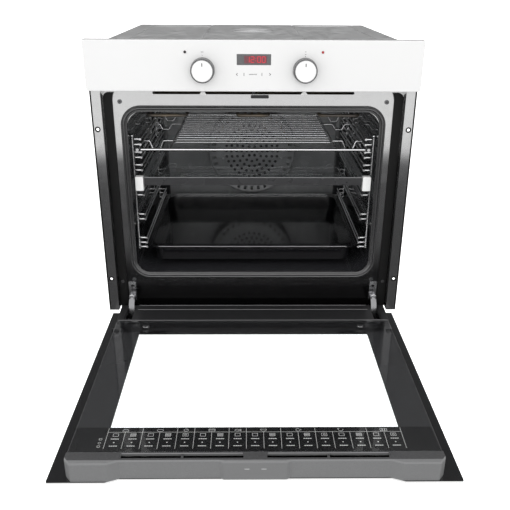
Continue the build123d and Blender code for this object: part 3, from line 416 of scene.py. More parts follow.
@dataclass(frozen=True)
class Galvanised(Finish):
    """Zinc-coated sheet with its crystal pattern."""

    colour: Colour
    contrast: float = 0.11
    crystal: float = 70.0

    def shade(self, g: Graph) -> Value:
        """Each Voronoi cell is one crystal with its own tone and gloss."""
        shade = g.node("ShaderNodeRGBToBW", None, {0: g.cells(self.crystal, "Color")})
        light = tuple(min(1.0, c * (1 + self.contrast)) for c in self.colour)
        dark = tuple(c * (1 - self.contrast) for c in self.colour)
        base = g.blend(g.ramp(shade, 0.1, 0.9), dark, light)
        rough = g.ramp(shade, 0.1, 0.9, 0.38, 0.52) + g.ramp(g.noise(30.0, 4.0), 0.4, 0.8, 0.0, 0.1)
        return g.solid(
            Base_Color=base, Roughness=rough, Metallic=0.85, Normal=g.bump(g.noise(260.0, 3.0), 0.02 * MM)
        )


@dataclass(frozen=True)
class BrightPlate(Finish):
    """Chrome or bright zinc plate, a little hazed by heat."""

    colour: Colour
    roughness: float = 0.1
    haze: Colour = (0.45, 0.42, 0.38)
    pits: float = 0.004 * MM

    def shade(self, g: Graph) -> Value:
        """Haze in soft patches, and rougher there."""
        patch = g.ramp(g.noise(60.0, 5.0), 0.5, 0.85, 0.0, 0.35)
        rough = patch * 0.25 + self.roughness
        return g.solid(
            Base_Color=g.blend(patch, self.colour, self.haze), Roughness=rough, Metallic=1.0,
            Normal=g.bump(g.noise(900.0, 2.0), self.pits),
        )


@dataclass(frozen=True)
class HeatedSheath(Finish):
    """A tubular heater's sheath, matt and tinted by heat in bands."""

    colour: Colour = (0.16, 0.145, 0.13)

    def shade(self, g: Graph) -> Value:
        """Slow bands from dark grey to straw."""
        band = g.ramp(g.noise(16.0, 3.0), 0.35, 0.7)
        base = g.blend(band, self.colour, (0.3, 0.24, 0.17))
        rough = g.ramp(g.noise(500.0, 3.0), 0.3, 0.8, 0.38, 0.6)
        return g.solid(Base_Color=base, Roughness=rough, Metallic=0.75)


@dataclass(frozen=True)
class Wool(Finish):
    """Compressed glass wool."""

    colour: Colour = (0.52, 0.47, 0.3)

    def shade(self, g: Graph) -> Value:
        """Fibres from noise that is stretched along Y."""
        fibre = g.noise(900.0, 6.0, (1.0, 0.1, 1.0))
        base = g.blend(g.ramp(fibre, 0.3, 0.7), self.colour, tuple(c * 1.5 for c in self.colour))
        rough = g.ramp(fibre, 0.3, 0.7, 0.85, 1.0)
        return g.solid(Base_Color=base, Roughness=rough, Normal=g.bump(fibre, 0.6 * MM))


@dataclass(frozen=True)
class Ink(Finish):
    """Screen-printed ink, slightly mottled."""

    colour: Colour
    roughness: float = 0.4

    def shade(self, g: Graph) -> Value:
        """Mottle from fine noise in tone and gloss."""
        mottle = g.noise(3000.0, 2.0)
        base = g.blend(g.ramp(mottle, 0.4, 0.7, 0.0, 0.25), self.colour, tuple(c * 0.85 for c in self.colour))
        rough = g.ramp(mottle, 0.3, 0.8, self.roughness * 0.85, self.roughness)
        return g.solid(Base_Color=base, Roughness=rough)


@dataclass(frozen=True)
class Lit(Finish):
    """A lit segment, lens or filament."""

    colour: Colour
    power: float

    def shade(self, g: Graph) -> Value:
        """Emission that varies a little over the piece."""
        flicker = g.ramp(g.noise(800.0, 1.0), 0.3, 0.7, 0.0, 0.3)
        glow = g.blend(flicker, self.colour, tuple(c * 0.6 for c in self.colour))
        return g.solid(
            Base_Color=glow, Roughness=0.3, Emission_Color=glow, Emission_Strength=self.power
        )


PANEL_WHITE = Paint("panel white enamel", "panel_white", (0.8, 0.8, 0.798), 0.2)
KNOB_WHITE = Paint("knob white enamel", "panel_white", (0.88, 0.88, 0.875), 0.2)
BLACK_ENAMEL = Paint("black enamel", "black_enamel", (0.006, 0.006, 0.007), 0.16, 0.3, (0.03, 0.03, 0.036), 0.5)
# The cavity's one enamel in shaded and lit copies: the dark side walls carry painted shade, and the lighter
# rear wall and fan cover carry painted light.
SHADED_LINER_ENAMEL = Paint("liner enamel with painted shade", "grey_enamel", (0.03, 0.031, 0.034), 0.18, 0.3, (0.09, 0.09, 0.1), 0.7)
LIT_WALL_ENAMEL = Paint("rear wall enamel with painted light", "grey_enamel", (0.3, 0.302, 0.31), 0.24, 0.12, (0.36, 0.36, 0.38), 0.5)
# The front frame's bright top is a painted reflection, and its dark lower part is painted shade.
FRONT_METAL = PaintedLightEnamel(
    "front frame painted reflection and shade", "front_grey", (0.64, 0.64, 0.64), (0.21, 0.21, 0.213), (0.025, 0.025, 0.026),
    (0.2, 0.2, 0.203), 0.17, 0.92,
)
PROFILE_GREY = Paint("door profile grey", "front_grey", (0.05, 0.05, 0.053), 0.3)
LEAF_GLASS = PaintedGlass("door leaf glass", "white_glass", (0.84, 0.84, 0.835), (0.012, 0.012, 0.013), 0.0358)
WINDOW_GLASS = ClearGlass("door window glass", "window_glass", (0.985, 0.99, 0.99))
INNER_GLASS = ClearGlass("inner glass", "clear_glass", (0.99, 0.993, 0.993))
TRAY_GLASS = ClearGlass("glass tray", "clear_glass", (0.9, 0.91, 0.91), (0.95, 0.96, 0.96), 1.32, 0.03)
# Painted shade for the dark look of the glass tray's front edge.
TRAY_EDGE_SHADE = Moulding("glass tray edge painted shade", "grey_plastic", (0.028, 0.028, 0.03), 0.3)
LAMP_GLASS = ClearGlass("lamp glass", "clear_glass", (0.93, 0.92, 0.88))
DISPLAY_GLASS = Paint(
    "smoked display glass", "display_glass", (0.085, 0.086, 0.09), 0.12, 0.0, (0.1, 0.1, 0.1), 1.0
)
BLACK_MOULD = Moulding("black moulding", "black_plastic", (0.014, 0.014, 0.015), 0.36)
# Also a painted highlight: on the runner caps this near-white stands for glare on steel front stops.
WHITE_MOULD_AND_HIGHLIGHT = Moulding("white moulding and painted highlight", "white_plastic", (0.88, 0.88, 0.87), 0.3, 0.01 * MM)
# The trim's face beside the glass carries painted shade.
TRIM = ShadedTopMoulding(
    "grey trim moulding", "grey_plastic", (0.165, 0.167, 0.169), 0.4, 0.01 * MM, 1800.0, 1.5,
    (0.034, 0.034, 0.036), -0.4655, 0.0679,
)
# Also the colour of painted highlights on the slot lips, the door's foot edges and the glass tray's front edge.
GREY_MOULD_AND_HIGHLIGHTS = Moulding("grey moulding and painted highlights", "grey_plastic", (0.22, 0.22, 0.225), 0.4)
GASKET = Moulding("black gasket", "seal_rubber", (0.005, 0.005, 0.005), 0.6, 0.04 * MM, 900.0, 1.2)
SEAL = Moulding("silicone seal", "seal_rubber", (0.02, 0.02, 0.021), 0.2, 0.01 * MM, 1800.0, 1.9)
FOOT_MOULD = Moulding("door foot moulding", "black_plastic", (0.014, 0.014, 0.015), 0.52)
STRIP_BLACK = Moulding("channel strip", "black_plastic", (0.006, 0.006, 0.006), 0.5, 0.02 * MM, 1800.0, 1.3)
KNOB_METAL = BrushedMetal("turned knob metal", "knob_metal", (0.14, 0.14, 0.143), Grain.ALONG_Y, 0.3)
HANDLE_STEEL = BrushedMetal("brushed handle steel", "polished_steel", (0.68, 0.68, 0.69), Grain.ALONG_X, 0.28)
# Also the painted highlights on the deep tray's rims.
RUNNER_STEEL_AND_HIGHLIGHT = BrushedMetal("runner steel and painted highlight", "polished_steel", (0.6, 0.6, 0.61), Grain.ALONG_Y, 0.18)
SHEET_ZINC = Galvanised("galvanised sheet", "galvanised", (0.42, 0.425, 0.43))
CHROME_WIRE = BrightPlate("chrome wire", "chrome_wire", (0.72, 0.72, 0.73), 0.14, (0.6, 0.6, 0.6), 0.0005 * MM)
# Also the painted highlight of the disc in the top cover's dish.
BRIGHT_STEEL_AND_HIGHLIGHT = BrightPlate("bright plated steel", "spring_steel", (0.74, 0.74, 0.75), 0.16)
HINGE_STEEL = BrightPlate("hinge steel", "spring_steel", (0.34, 0.34, 0.35), 0.16, (0.1, 0.1, 0.1), 0.02 * MM)
FAN_STEEL = BrightPlate("darkened fan steel", "galvanised", (0.03, 0.03, 0.031), 0.45, (0.05, 0.05, 0.05))
SMOOTH_ZINC = Galvanised("smooth galvanised sheet", "galvanised", (0.56, 0.562, 0.565), 0.01)
DARK_SCREW = BrightPlate("dark plated screw", "spring_steel", (0.16, 0.16, 0.165), 0.24, (0.1, 0.1, 0.1))
SHEATH = HeatedSheath("heater sheath", "heater_steel")
GLASS_WOOL = Wool("glass wool", "mineral_wool")
# Also the painted shade in the frame screws' sockets.
BLACK_INK_AND_SHADE = Ink("black ink and painted shade", "black_enamel", (0.006, 0.006, 0.007), 0.3)
SIDE_INK = Ink("side border ink", "black_enamel", (0.028, 0.028, 0.03), 0.3)
DARK_INK = Ink("dark grey ink", "black_plastic", (0.035, 0.035, 0.037))
PALE_INK = Ink("pale ink", "white_plastic", (0.74, 0.74, 0.73))
RED_SEGMENT = Lit("red segment", "red_lens", (0.6, 0.03, 0.05), 0.25)
RED_HALO = Lit("dim red glow", "red_lens", (0.16, 0.05, 0.06), 0.15)
RED_LENS = Paint("red lamp lens", "red_lens", (0.42, 0.012, 0.02), 0.12, 0.0, (0.1, 0.1, 0.1), 1.0)
LAMP_WHITE = Lit("lamp bulb", "spring_steel", (0.9, 0.9, 0.88), 0.35)

NODE_FINISH: dict[Finish, tuple[str, ...]] = {
    PANEL_WHITE: ("control_panel",),
    KNOB_WHITE: ("knob_face_left", "knob_face_right"),
    KNOB_METAL: ("knob_left", "knob_right"),
    DISPLAY_GLASS: ("display_window",),
    BLACK_MOULD: (
        "electronics_housing", "function_switch", "thermostat_switch", "vent_grille", "door_switch",
        "cable_gland", "terminal_box",
    ),
    RED_LENS: ("indicator_lamps",),
    FRONT_METAL: ("front_frame",),
    DARK_SCREW: ("frame_screws",),
    STRIP_BLACK: ("channel_strips",),
    FOOT_MOULD: ("door_foot",),
    HINGE_STEEL: ("hinge_arms", "hinge_bodies", "hinge_pins"),
    BRIGHT_STEEL_AND_HIGHLIGHT: ("runner_rails", "temperature_probe"),
    RUNNER_STEEL_AND_HIGHLIGHT: ("runner_slides", "glass_clips"),
    HANDLE_STEEL: ("door_handle",),
    GREY_MOULD_AND_HIGHLIGHTS: ("handle_posts",),
    SEAL: ("door_seal",),
    SHADED_LINER_ENAMEL: ("cavity_liner",),
    LIT_WALL_ENAMEL: ("cavity_back", "fan_cover"),
    SHEATH: ("ring_heater", "grill_element", "bottom_element"),
    LAMP_GLASS: ("lamp_glass",),
    CHROME_WIRE: ("side_rack_left", "side_rack_right", "wire_shelf"),
    # The runner caps' near-white colour is a painted highlight standing for glare on the runners' steel front
    # stops.
    WHITE_MOULD_AND_HIGHLIGHT: ("runner_caps",),
    TRAY_GLASS: ("glass_tray",),
    BLACK_ENAMEL: ("deep_tray",),
    GLASS_WOOL: ("insulation",),
    SHEET_ZINC: (
        "side_panel_left", "side_panel_right", "base_plate", "rear_cover", "air_duct",
        "blower_housing", "blower_impeller", "blower_motor", "fan_motor", "lamp_holder",
    ),
    SMOOTH_ZINC: ("top_cover",),
    FAN_STEEL: ("fan_impeller",),
    LEAF_GLASS: ("door_outer_panel",),
    WINDOW_GLASS: ("door_window",),
    INNER_GLASS: ("door_inner_glass", "door_middle_glass"),
    PROFILE_GREY: ("door_profiles",),
    TRIM: ("door_top_trim",),
}


# ---------------------------------------------------------------- surfaces
@dataclass
class Surface:
    """Points and faces that are joined up as whole arrays."""

    points: np.ndarray
    faces: list[list[int]]

    def __add__(self, other: "Surface") -> "Surface":
        """Both surfaces as one."""
        shift = len(self.points)
        moved = [[i + shift for i in face] for face in other.faces]
        return Surface(np.vstack([self.points, other.points]), self.faces + moved)

    def piece(self, name: str, body: str, finish: Finish, smooth: bool = False) -> bpy.types.Object:
        """Make the object.

        Args:
            name: the piece's name.
            body: the body that it rides on.
            finish: its finish.
            smooth: whether its faces are shaded smoothly; end faces stay flat.

        Returns:
            The finished object.
        """
        mesh = bpy.data.meshes.new(name)
        mesh.from_pydata(self.points, [], self.faces)
        mesh.polygons.foreach_set("use_smooth", [smooth and len(face) == 4 for face in self.faces])
        mesh.materials.append(finish.material())
        mesh.update()
        made = bpy.data.objects.new(name, mesh)
        bpy.context.scene.collection.objects.link(made)
        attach(made, body)
        LOG.info("%s: %d faces, rides on %s", name, len(mesh.polygons), body)
        return made


def prisms(outlines: np.ndarray, lift: np.ndarray) -> Surface:
    """Straight prisms on many outlines: each point p goes to p and p + lift.

    Args:
        outlines: (prisms, corners, 3) points, counter-clockwise as seen from lift's end.
        lift: (3,) the way from one end to the other.

    Returns:
        The closed prisms as one surface.
    """
    count, corners, _ = outlines.shape
    points = np.stack([outlines, outlines + lift], axis=1).reshape(-1, 3)
    start = (np.arange(count) * 2 * corners)[:, None]
    ring = np.arange(corners)
    after = (ring + 1) % corners
    ends = np.vstack([start + corners + ring, start + ring[::-1]])
    sides = np.stack([ring, after, after + corners, ring + corners], axis=1)
    walls = (start[:, :, None] + sides[None]).reshape(-1, 4)
    return Surface(points, ends.tolist() + walls.tolist())


def tube(grid: np.ndarray, wrap: bool = False) -> Surface:
    """A grid of rings as a closed skin: ring i, point j is joined to its four neighbours.

    Args:
        grid: (rings, points, 3), each ring counter-clockwise as seen from the last ring.
        wrap: whether the last ring joins the first; otherwise both ends are closed by a face.

    Returns:
        The skin.
    """
    rings, around, _ = grid.shape
    index = np.arange(rings * around).reshape(rings, around)
    low = index if wrap else index[:-1]
    high = np.roll(index, -1, axis=0) if wrap else index[1:]
    quads = np.stack([low, np.roll(low, -1, 1), np.roll(high, -1, 1), high], axis=-1).reshape(-1, 4)
    faces = quads.tolist()
    if not wrap:
        faces += [index[0, ::-1].tolist(), index[-1].tolist()]
    return Surface(grid.reshape(-1, 3), faces)


def swept(path: np.ndarray, radius: float, around: int = 10, wrap: bool = False) -> Surface:
    """A round wire: p(s, t) = path(s) + radius * (cos t * side + sin t * up).

    Side and up are square to the path's tangent; side leans on a fixed direction. An open path has an
    extra ring close to each end, so that the end faces don't tilt the shading of the whole wire.

    Args:
        path: (n, 3) points.
        radius: the wire's radius.
        around: points round it.
        wrap: whether the path is closed.

    Returns:
        The wire's skin.
    """
    if not wrap:
        near, far = path[0] + 0.02 * (path[1] - path[0]), path[-1] + 0.02 * (path[-2] - path[-1])
        path = np.vstack([path[:1], [near], path[1:-1], [far], path[-1:]])
    ahead, behind = np.roll(path, -1, 0), np.roll(path, 1, 0)
    if not wrap:
        ahead[-1], behind[0] = path[-1], path[0]
    tangent = ahead - behind
    tangent /= np.linalg.norm(tangent, axis=1, keepdims=True)
    normal = np.cross(path[1] - path[0], path[len(path) // 2] - path[0])
    if np.linalg.norm(normal) < 1e-12:
        normal = np.cross(tangent[0], (0.3, 0.5, 0.8))
    side = np.cross(tangent, normal / np.linalg.norm(normal))
    side /= np.linalg.norm(side, axis=1, keepdims=True)
    up = np.cross(tangent, side)
    t = np.linspace(0, 2 * math.pi, around, endpoint=False)
    ring = np.cos(t)[None, :, None] * side[:, None] + np.sin(t)[None, :, None] * up[:, None]
    return tube(path[:, None] + radius * ring, wrap)


def turned(profile: np.ndarray, centre: tuple, along: tuple, around: int = 32) -> Surface:
    """A turned shape: p(s, t) = centre + h(s) * along + r(s) * (cos t * side + sin t * up).

    Args:
        profile: (n, 2) radius and height along the axis, both ends off the axis.
        centre: the profile's zero height.
        along: the axis, a unit vector.
        around: points round it.

    Returns:
        The closed skin.
    """
    axis = np.array(along, float)
    side = np.cross(axis, (0.0, 0.0, 1.0) if abs(axis[2]) < 0.9 else (1.0, 0.0, 0.0))
    side /= np.linalg.norm(side)
    up = np.cross(axis, side)
    t = np.linspace(0, 2 * math.pi, around, endpoint=False)
    ring = np.cos(t)[:, None] * side + np.sin(t)[:, None] * up
    radius, height = profile[:, 0, None, None], profile[:, 1, None, None]
    return tube(np.array(centre) + radius * ring + height * axis)


def rounded(half_x: float, half_y: float, radius: float, steps: int = 8) -> np.ndarray:
    """A rounded rectangle, counter-clockwise: a quarter arc about each corner's centre.

    Args:
        half_x: half its width.
        half_y: half its height.
        radius: its corners' radius.
        steps: points in each corner.

    Returns:
        (4 * steps, 2) points.
    """
    t = np.linspace(0, math.pi / 2, steps)
    quarter = np.arange(4)[:, None]
    turn = t[None] + quarter * math.pi / 2
    sign = np.array([[1, 1], [-1, 1], [-1, -1], [1, -1]])
    centres = sign * (half_x - radius, half_y - radius)
    arcs = np.stack([np.cos(turn), np.sin(turn)], axis=-1) * radius
    return (centres[:, None] + arcs).reshape(-1, 2)


def circle(count: int) -> np.ndarray:
    """That many points (cos t, sin t) round a unit circle."""
    t = np.linspace(0, 2 * math.pi, count, endpoint=False)
    return np.stack([np.cos(t), np.sin(t)], axis=1)


def rod(start: tuple, end: tuple, radius: float, around: int = 10, points: int = 3) -> Surface:
    """A straight wire from start to end."""
    return swept(np.linspace(start, end, points), radius, around)


def domed(radius: float, height: float, sunk: float) -> np.ndarray:
    """The profile of a domed screw head, sunk a little into what it holds.

    Args:
        radius: the head's radius, in millimetres.
        height: its height, in millimetres.
        sunk: how deep its edge starts, in millimetres.

    Returns:
        (7, 2) radius and height, in metres.
    """
    t = np.linspace(0, math.pi / 2, 6)
    dome = np.stack([0.1 + (radius - 0.1) * np.cos(t), height * np.sin(t)], axis=1)
    return np.vstack([[[radius, -sunk]], dome]) * MM


def together(parts: list[Surface]) -> Surface:
    """Join surfaces.

    Args:
        parts: the surfaces, at least one.

    Returns:
        All of them as one.
    """
    joined = parts[0]
    for part in parts[1:]:
        joined = joined + part
    return joined


@dataclass(frozen=True)
class Ground:
    """A flat place to print on or to fix things to: an origin, two directions and the way out."""

    origin: tuple
    right: tuple
    up: tuple

    def out(self) -> np.ndarray:
        """The way out of the surface."""
        return np.cross(self.right, self.up)

    def spot(self, flat: np.ndarray, height: float = 0.0) -> np.ndarray:
        """Flat points, in millimetres, as points in space.

        Args:
            flat: (..., 2) points.
            height: how far they stand out, in metres.

        Returns:
            (..., 3) points.
        """
        across = flat[..., :1] * MM * np.array(self.right, float)
        along = flat[..., 1:] * MM * np.array(self.up, float)
        return np.array(self.origin) + across + along + height * self.out()

    def raised(self, outlines: np.ndarray, thick: float = HAIR, base: float = 0.0) -> Surface:
        """Prisms on flat outlines, in millimetres, thick metres high from base."""
        return prisms(self.spot(outlines, base), thick * self.out())

    def bars(self, places: list, base: float = 0.0, thick: float = HAIR) -> Surface:
        """Straight bars.

        Args:
            places: (x, y, width, height) of each, in millimetres.
            base: the height that they start at, in metres.
            thick: how thick they are, in metres.

        Returns:
            The bars.
        """
        rows = np.array(places, float)
        unit = np.array([[-0.5, -0.5], [0.5, -0.5], [0.5, 0.5], [-0.5, 0.5]])
        corners = rows[:, None, :2] + unit[None] * rows[:, None, 2:]
        return self.raised(corners, thick, base)

    def dots(self, places: list, base: float = 0.0, thick: float = HAIR, sides: int = 20) -> Surface:
        """Round dots.

        Args:
            places: (x, y, radius) of each, in millimetres.
            base: the height that they start at, in metres.
            thick: how thick they are, in metres.
            sides: the sides of each.

        Returns:
            The dots.
        """
        rows = np.array(places, float)
        return self.raised(rows[:, None, :2] + circle(sides)[None] * rows[:, None, 2:], thick, base)

    def strokes(self, lines: list[np.ndarray], width: float, base: float = 0.0) -> Surface:
        """Drawn lines: each run from a to b is a bar, its ends longer by half the width.

        Args:
            lines: (n, 2) points of each line, in millimetres.
            width: the stroke's width, in millimetres.
            base: the height that the ink starts at, in metres.

        Returns:
            The strokes.
        """
        a = np.vstack([line[:-1] for line in lines])
        b = np.vstack([line[1:] for line in lines])
        way = (b - a) / np.linalg.norm(b - a, axis=1, keepdims=True) * width / 2
        side = np.stack([-way[:, 1], way[:, 0]], axis=1)
        corners = np.stack([a - way - side, b + way - side, b + way + side, a - way + side], axis=1)
        return self.raised(corners, HAIR, base)


def arc(x: float, y: float, radius: float, start: float, end: float, steps: int = 9) -> np.ndarray:
    """Points on an arc about (x, y) from start to end, in degrees."""
    t = np.radians(np.linspace(start, end, steps))
    return np.stack([x + radius * np.cos(t), y + radius * np.sin(t)], axis=1)


def box_lines(x: float, y: float, half_x: float, half_y: float) -> np.ndarray:
    """The closed outline of an upright rectangle about (x, y)."""
    corners = np.array([[-1, -1], [1, -1], [1, 1], [-1, 1], [-1, -1]], float)
    return corners * (half_x, half_y) + (x, y)


def facing(y: float) -> Ground:
    """The upright plane at y, as seen from the front."""
    return Ground((0.0, y, 0.0), RIGHT, UP)


def level(z: float) -> Ground:
    """The level plane at z, as seen from above."""
    return Ground((0.0, 0.0, z), RIGHT, BACK)


def dressed(name: str, finish: Finish) -> None:
    """Give a node one finish all over.

    Args:
        name: the node's name.
        finish: its finish.
    """
    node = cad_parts[name]
    node.data.materials.clear()
    node.data.materials.append(finish.material())


# ---------------------------------------------------------------- control panel
PANEL = facing(-0.022)


@dataclass
class ControlPanel:
    """The white panel: display, printed marks, lamps and the marks on the knobs."""

    knob_x: float = 90.0
    knob_z: float = 544.5
    display_z: float = 562.5
    key_z: float = 537.5
    digit_w: float = 5.2
    digit_h: float = 9.6
    segment: float = 1.25
    knob_front: float = -0.0383
    glass_y: float = -0.0216
    rim: float = 18.6
    lamp: tuple = (-0.12, -0.0228, 0.575)

    def display(self) -> None:
        """A dim red glow behind four lit seven-segment figures and a colon."""
        glass = facing(self.glass_y)
        glass.bars([(3.0, self.display_z, 40.0, 12.6)]).piece("display_glow", "oven", RED_HALO)
        w, h, s = self.digit_w, self.digit_h, self.segment
        segments = {
            "a": (0, h / 2, w, s), "g": (0, 0, w, s), "d": (0, -h / 2, w, s),
            "f": (-w / 2, h / 4, s, h / 2 - 0.4), "b": (w / 2, h / 4, s, h / 2 - 0.4),
            "e": (-w / 2, -h / 4, s, h / 2 - 0.4), "c": (w / 2, -h / 4, s, h / 2 - 0.4),
        }
        figures = {"1": "bc", "2": "abged", "0": "abcdef"}
        places = [
            (x + segments[key][0], self.display_z + segments[key][1], *segments[key][2:])
            for x, figure in zip((-10.5, -2.5, 9.0, 17.0), "1200")
            for key in figures[figure]
        ]
        places += [(3.2, self.display_z + dz, 1.3, 1.3) for dz in (-2.2, 2.2)]
        glass.bars(places, HAIR).piece("display_figures", "oven", RED_SEGMENT)

    def marks(self) -> None:
        """Printed touch keys under the display and the knobs' reference marks."""
        z = self.key_z
        arrow = np.array([[1.1, 1.8], [-0.9, 0.0], [1.1, -1.8]])
        lines = [arrow + (-30.0, z), arrow * (-1, 1) + (28.6, z)]
        lines += [np.array([[x, z - 2.2], [x, z + 2.2]]) for x in (-17.4, 14.2)]
        PANEL.strokes(lines, 0.9).piece("touch_key_marks", "oven", DARK_INK)
        wave = np.linspace(-8.5, 5.5, 15)
        zigzag = np.stack([wave, z + 0.7 * np.cos(np.arange(15) * math.pi)], axis=1)
        left = [(-self.knob_x + dx, 575.0, 0.7, 2.6) for dx in (-1.4, 1.4)]
        right = [(self.knob_x, 571.5 + dz, 2.6, 0.7) for dz in (0.0, 4.2)]
        ring = PANEL.strokes([zigzag], 0.5) + PANEL.bars(left + right)
        dots = PANEL.dots([(-self.knob_x, 569.6, 0.6), (self.knob_x, 568.2, 0.6)])
        (ring + dots).piece("panel_marks", "oven", DARK_INK)

    def knob_marks(self) -> None:
        """A short dark line near the top of each knob's face, and its fine bright rim."""
        face = facing(self.knob_front)
        for side, sign, body in (("left", -1, "function_knob"), ("right", 1, "temperature_knob")):
            x = sign * self.knob_x
            line = face.bars([(x, self.knob_z + 10.6, 1.5, 5.4)])
            line.piece(f"knob_mark_{side}", body, DARK_INK)
            flat = self.rim * circle(64) + (x, self.knob_z)
            rim = swept(face.spot(flat, -0.3 * MM), 0.35 * MM, 8, True)
            rim.piece(f"knob_rim_{side}", body, RUNNER_STEEL_AND_HIGHLIGHT, True)

    def lamp_face(self) -> None:
        """The left lamp is unlit: a black cap covers it."""
        cap = np.array([[0.1, 0.0], [2.15, 0.0], [2.15, 0.5], [1.7, 0.9], [0.1, 1.0]]) * MM
        turned(cap, self.lamp, (0, -1, 0), 24).piece("left_lamp_cap", "oven", BLACK_MOULD, True)

    def build(self) -> None:
        """Everything on the panel."""
        self.display()
        self.marks()
        self.knob_marks()
        self.lamp_face()


# ---------------------------------------------------------------- front frame
@dataclass
class FrontFrame:
    """What is fixed to the pressed front frame."""

    plate_y: float = 0.018
    head: float = 1.9 * MM
    plate_screws: tuple = ((247.0, 483.0), (245.0, 121.0))
    corner_screw: tuple = (269.0, 116.5)
    corner_screw_y: float = 0.015
    hole_x: float = 288.0
    hole_rows: tuple = (129.5, 435.0)
    edge_x: float = 0.29595
    bead: float = 1.5 * MM
    seal_half: tuple = (248.5, 175.5)
    seal_corner: float = 38.0
    seal_z: float = 0.3005
    tab_x: float = 93.2
    tab_z: float = 499.0
    hook: float = 4.3 * MM
    hook_z: float = 0.088
    hook_foot: float = 0.070

    def grommets(self) -> None:
        """Black rings round the fixing holes: a half-round profile turned about each hole."""
        t = np.linspace(0, math.pi, 9)
        profile = np.stack([4.0 + 1.3 * np.cos(math.pi - t), 0.9 * np.sin(t)], 1)
        rings = []
        for sign in SIGNS:
            for z in self.hole_rows:
                flat = circle(32)[:, None] * profile[None, :, :1] + (sign * self.hole_x, z)
                height = np.broadcast_to(profile[None, :, 1:], flat[..., :1].shape) * MM
                grid = np.concatenate([flat[..., :1] * MM, -height, flat[..., 1:] * MM], axis=-1)
                rings.append(tube(grid, True))
        together(rings).piece("fixing_grommets", "oven", GASKET, True)

    def edges(self) -> None:
        """Black beads down the outer edges of the flange."""
        beads = [
            rod((sign * self.edge_x, 0.0004, 0.06), (sign * self.edge_x, 0.0004, 0.505), self.bead)
            for sign in SIGNS
        ]
        together(beads).piece("flange_edge_beads", "oven", GASKET, True)

    def seal(self) -> None:
        """The door seal: a lobed profile (inset, height) carried round a rounded rectangle."""
        lobes = np.array([
            [0.0, -0.1], [0.0, 0.8], [0.7, 1.2], [1.5, 0.9], [2.0, 0.3], [2.7, 0.5], [3.5, 2.1], [4.8, 3.0],
            [6.2, 3.2], [7.5, 2.6], [8.2, 1.2], [8.8, 0.9], [9.3, 1.7], [9.9, 1.8], [10.3, 0.9], [10.8, 0.9],
            [11.3, 1.2], [11.8, 0.8], [11.9, -0.1],
        ])[::-1]
        wide, high = self.seal_half
        loops = [
            np.insert(rounded(wide - inset, high - inset, self.seal_corner - inset, 12), 1, -height, axis=1)
            for inset, height in lobes
        ]
        grid = np.stack(loops, axis=1) * MM + (0.0, self.plate_y, self.seal_z)
        made = tube(grid, True).piece("lobed_door_seal", "oven", SEAL, True)
        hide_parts("door_seal")

    def screw_socket_shade(self) -> None:
        """Painted shade for the six-pointed socket in each screw head: a black star printed on the head, r =
        1.5 + 0.35 cos 6t.
        """
        t = np.linspace(0, 2 * math.pi, 48, endpoint=False)
        star = np.stack([np.cos(t), np.sin(t)], axis=1) * (1.5 + 0.35 * np.cos(6 * t))[:, None]
        places = np.array([(sign * x, z) for x, z in self.plate_screws for sign in SIGNS])
        # Painted shade: each socket's recess is drawn as a thin black star on the head.
        sockets = facing(self.plate_y - self.head).raised(star[None] + places[:, None])
        x, z = self.corner_screw
        places = np.array([(sign * x, z) for sign in SIGNS])
        small = facing(self.corner_screw_y).raised(star[None] * 0.7 + places[:, None])
        (sockets + small).piece("screw_socket_shade", "oven", BLACK_INK_AND_SHADE)

    def slot_tabs(self) -> None:
        """Bright tabs that bridge the air slot."""
        shape = np.array([[-6.5, -2.6], [6.5, -2.6], [2.6, 2.4], [-2.6, 2.4]])
        places = np.array([(sign * self.tab_x, self.tab_z) for sign in SIGNS])
        tabs = facing(self.plate_y).raised(shape[None] + places[:, None], 0.6 * MM)
        tabs.piece("slot_tabs", "oven", WHITE_MOULD_AND_HIGHLIGHT)

    def hinge_hooks(self) -> None:
        """A bent bright wire catch on each hinge arm."""
        t = np.linspace(0, math.pi, 13)
        bend = self.hook * np.stack([np.cos(t), np.zeros(13), np.sin(t)], 1) + (0.0, 0.0, self.hook_z)
        legs = [[[sign * self.hook, 0.002, self.hook_foot]] for sign in (1, -1)]
        path = np.vstack([legs[0], bend, legs[1]])
        hooks = [swept(path + (sign * HINGE_X, 0.0, 0.0), 1.1 * MM) for sign in SIGNS]
        together(hooks).piece("hinge_catches", "oven", BRIGHT_STEEL_AND_HIGHLIGHT, True)

    def build(self) -> None:
        """Everything on the frame."""
        self.grommets()
        self.edges()
        self.seal()
        self.screw_socket_shade()
        self.slot_tabs()
        self.hinge_hooks()


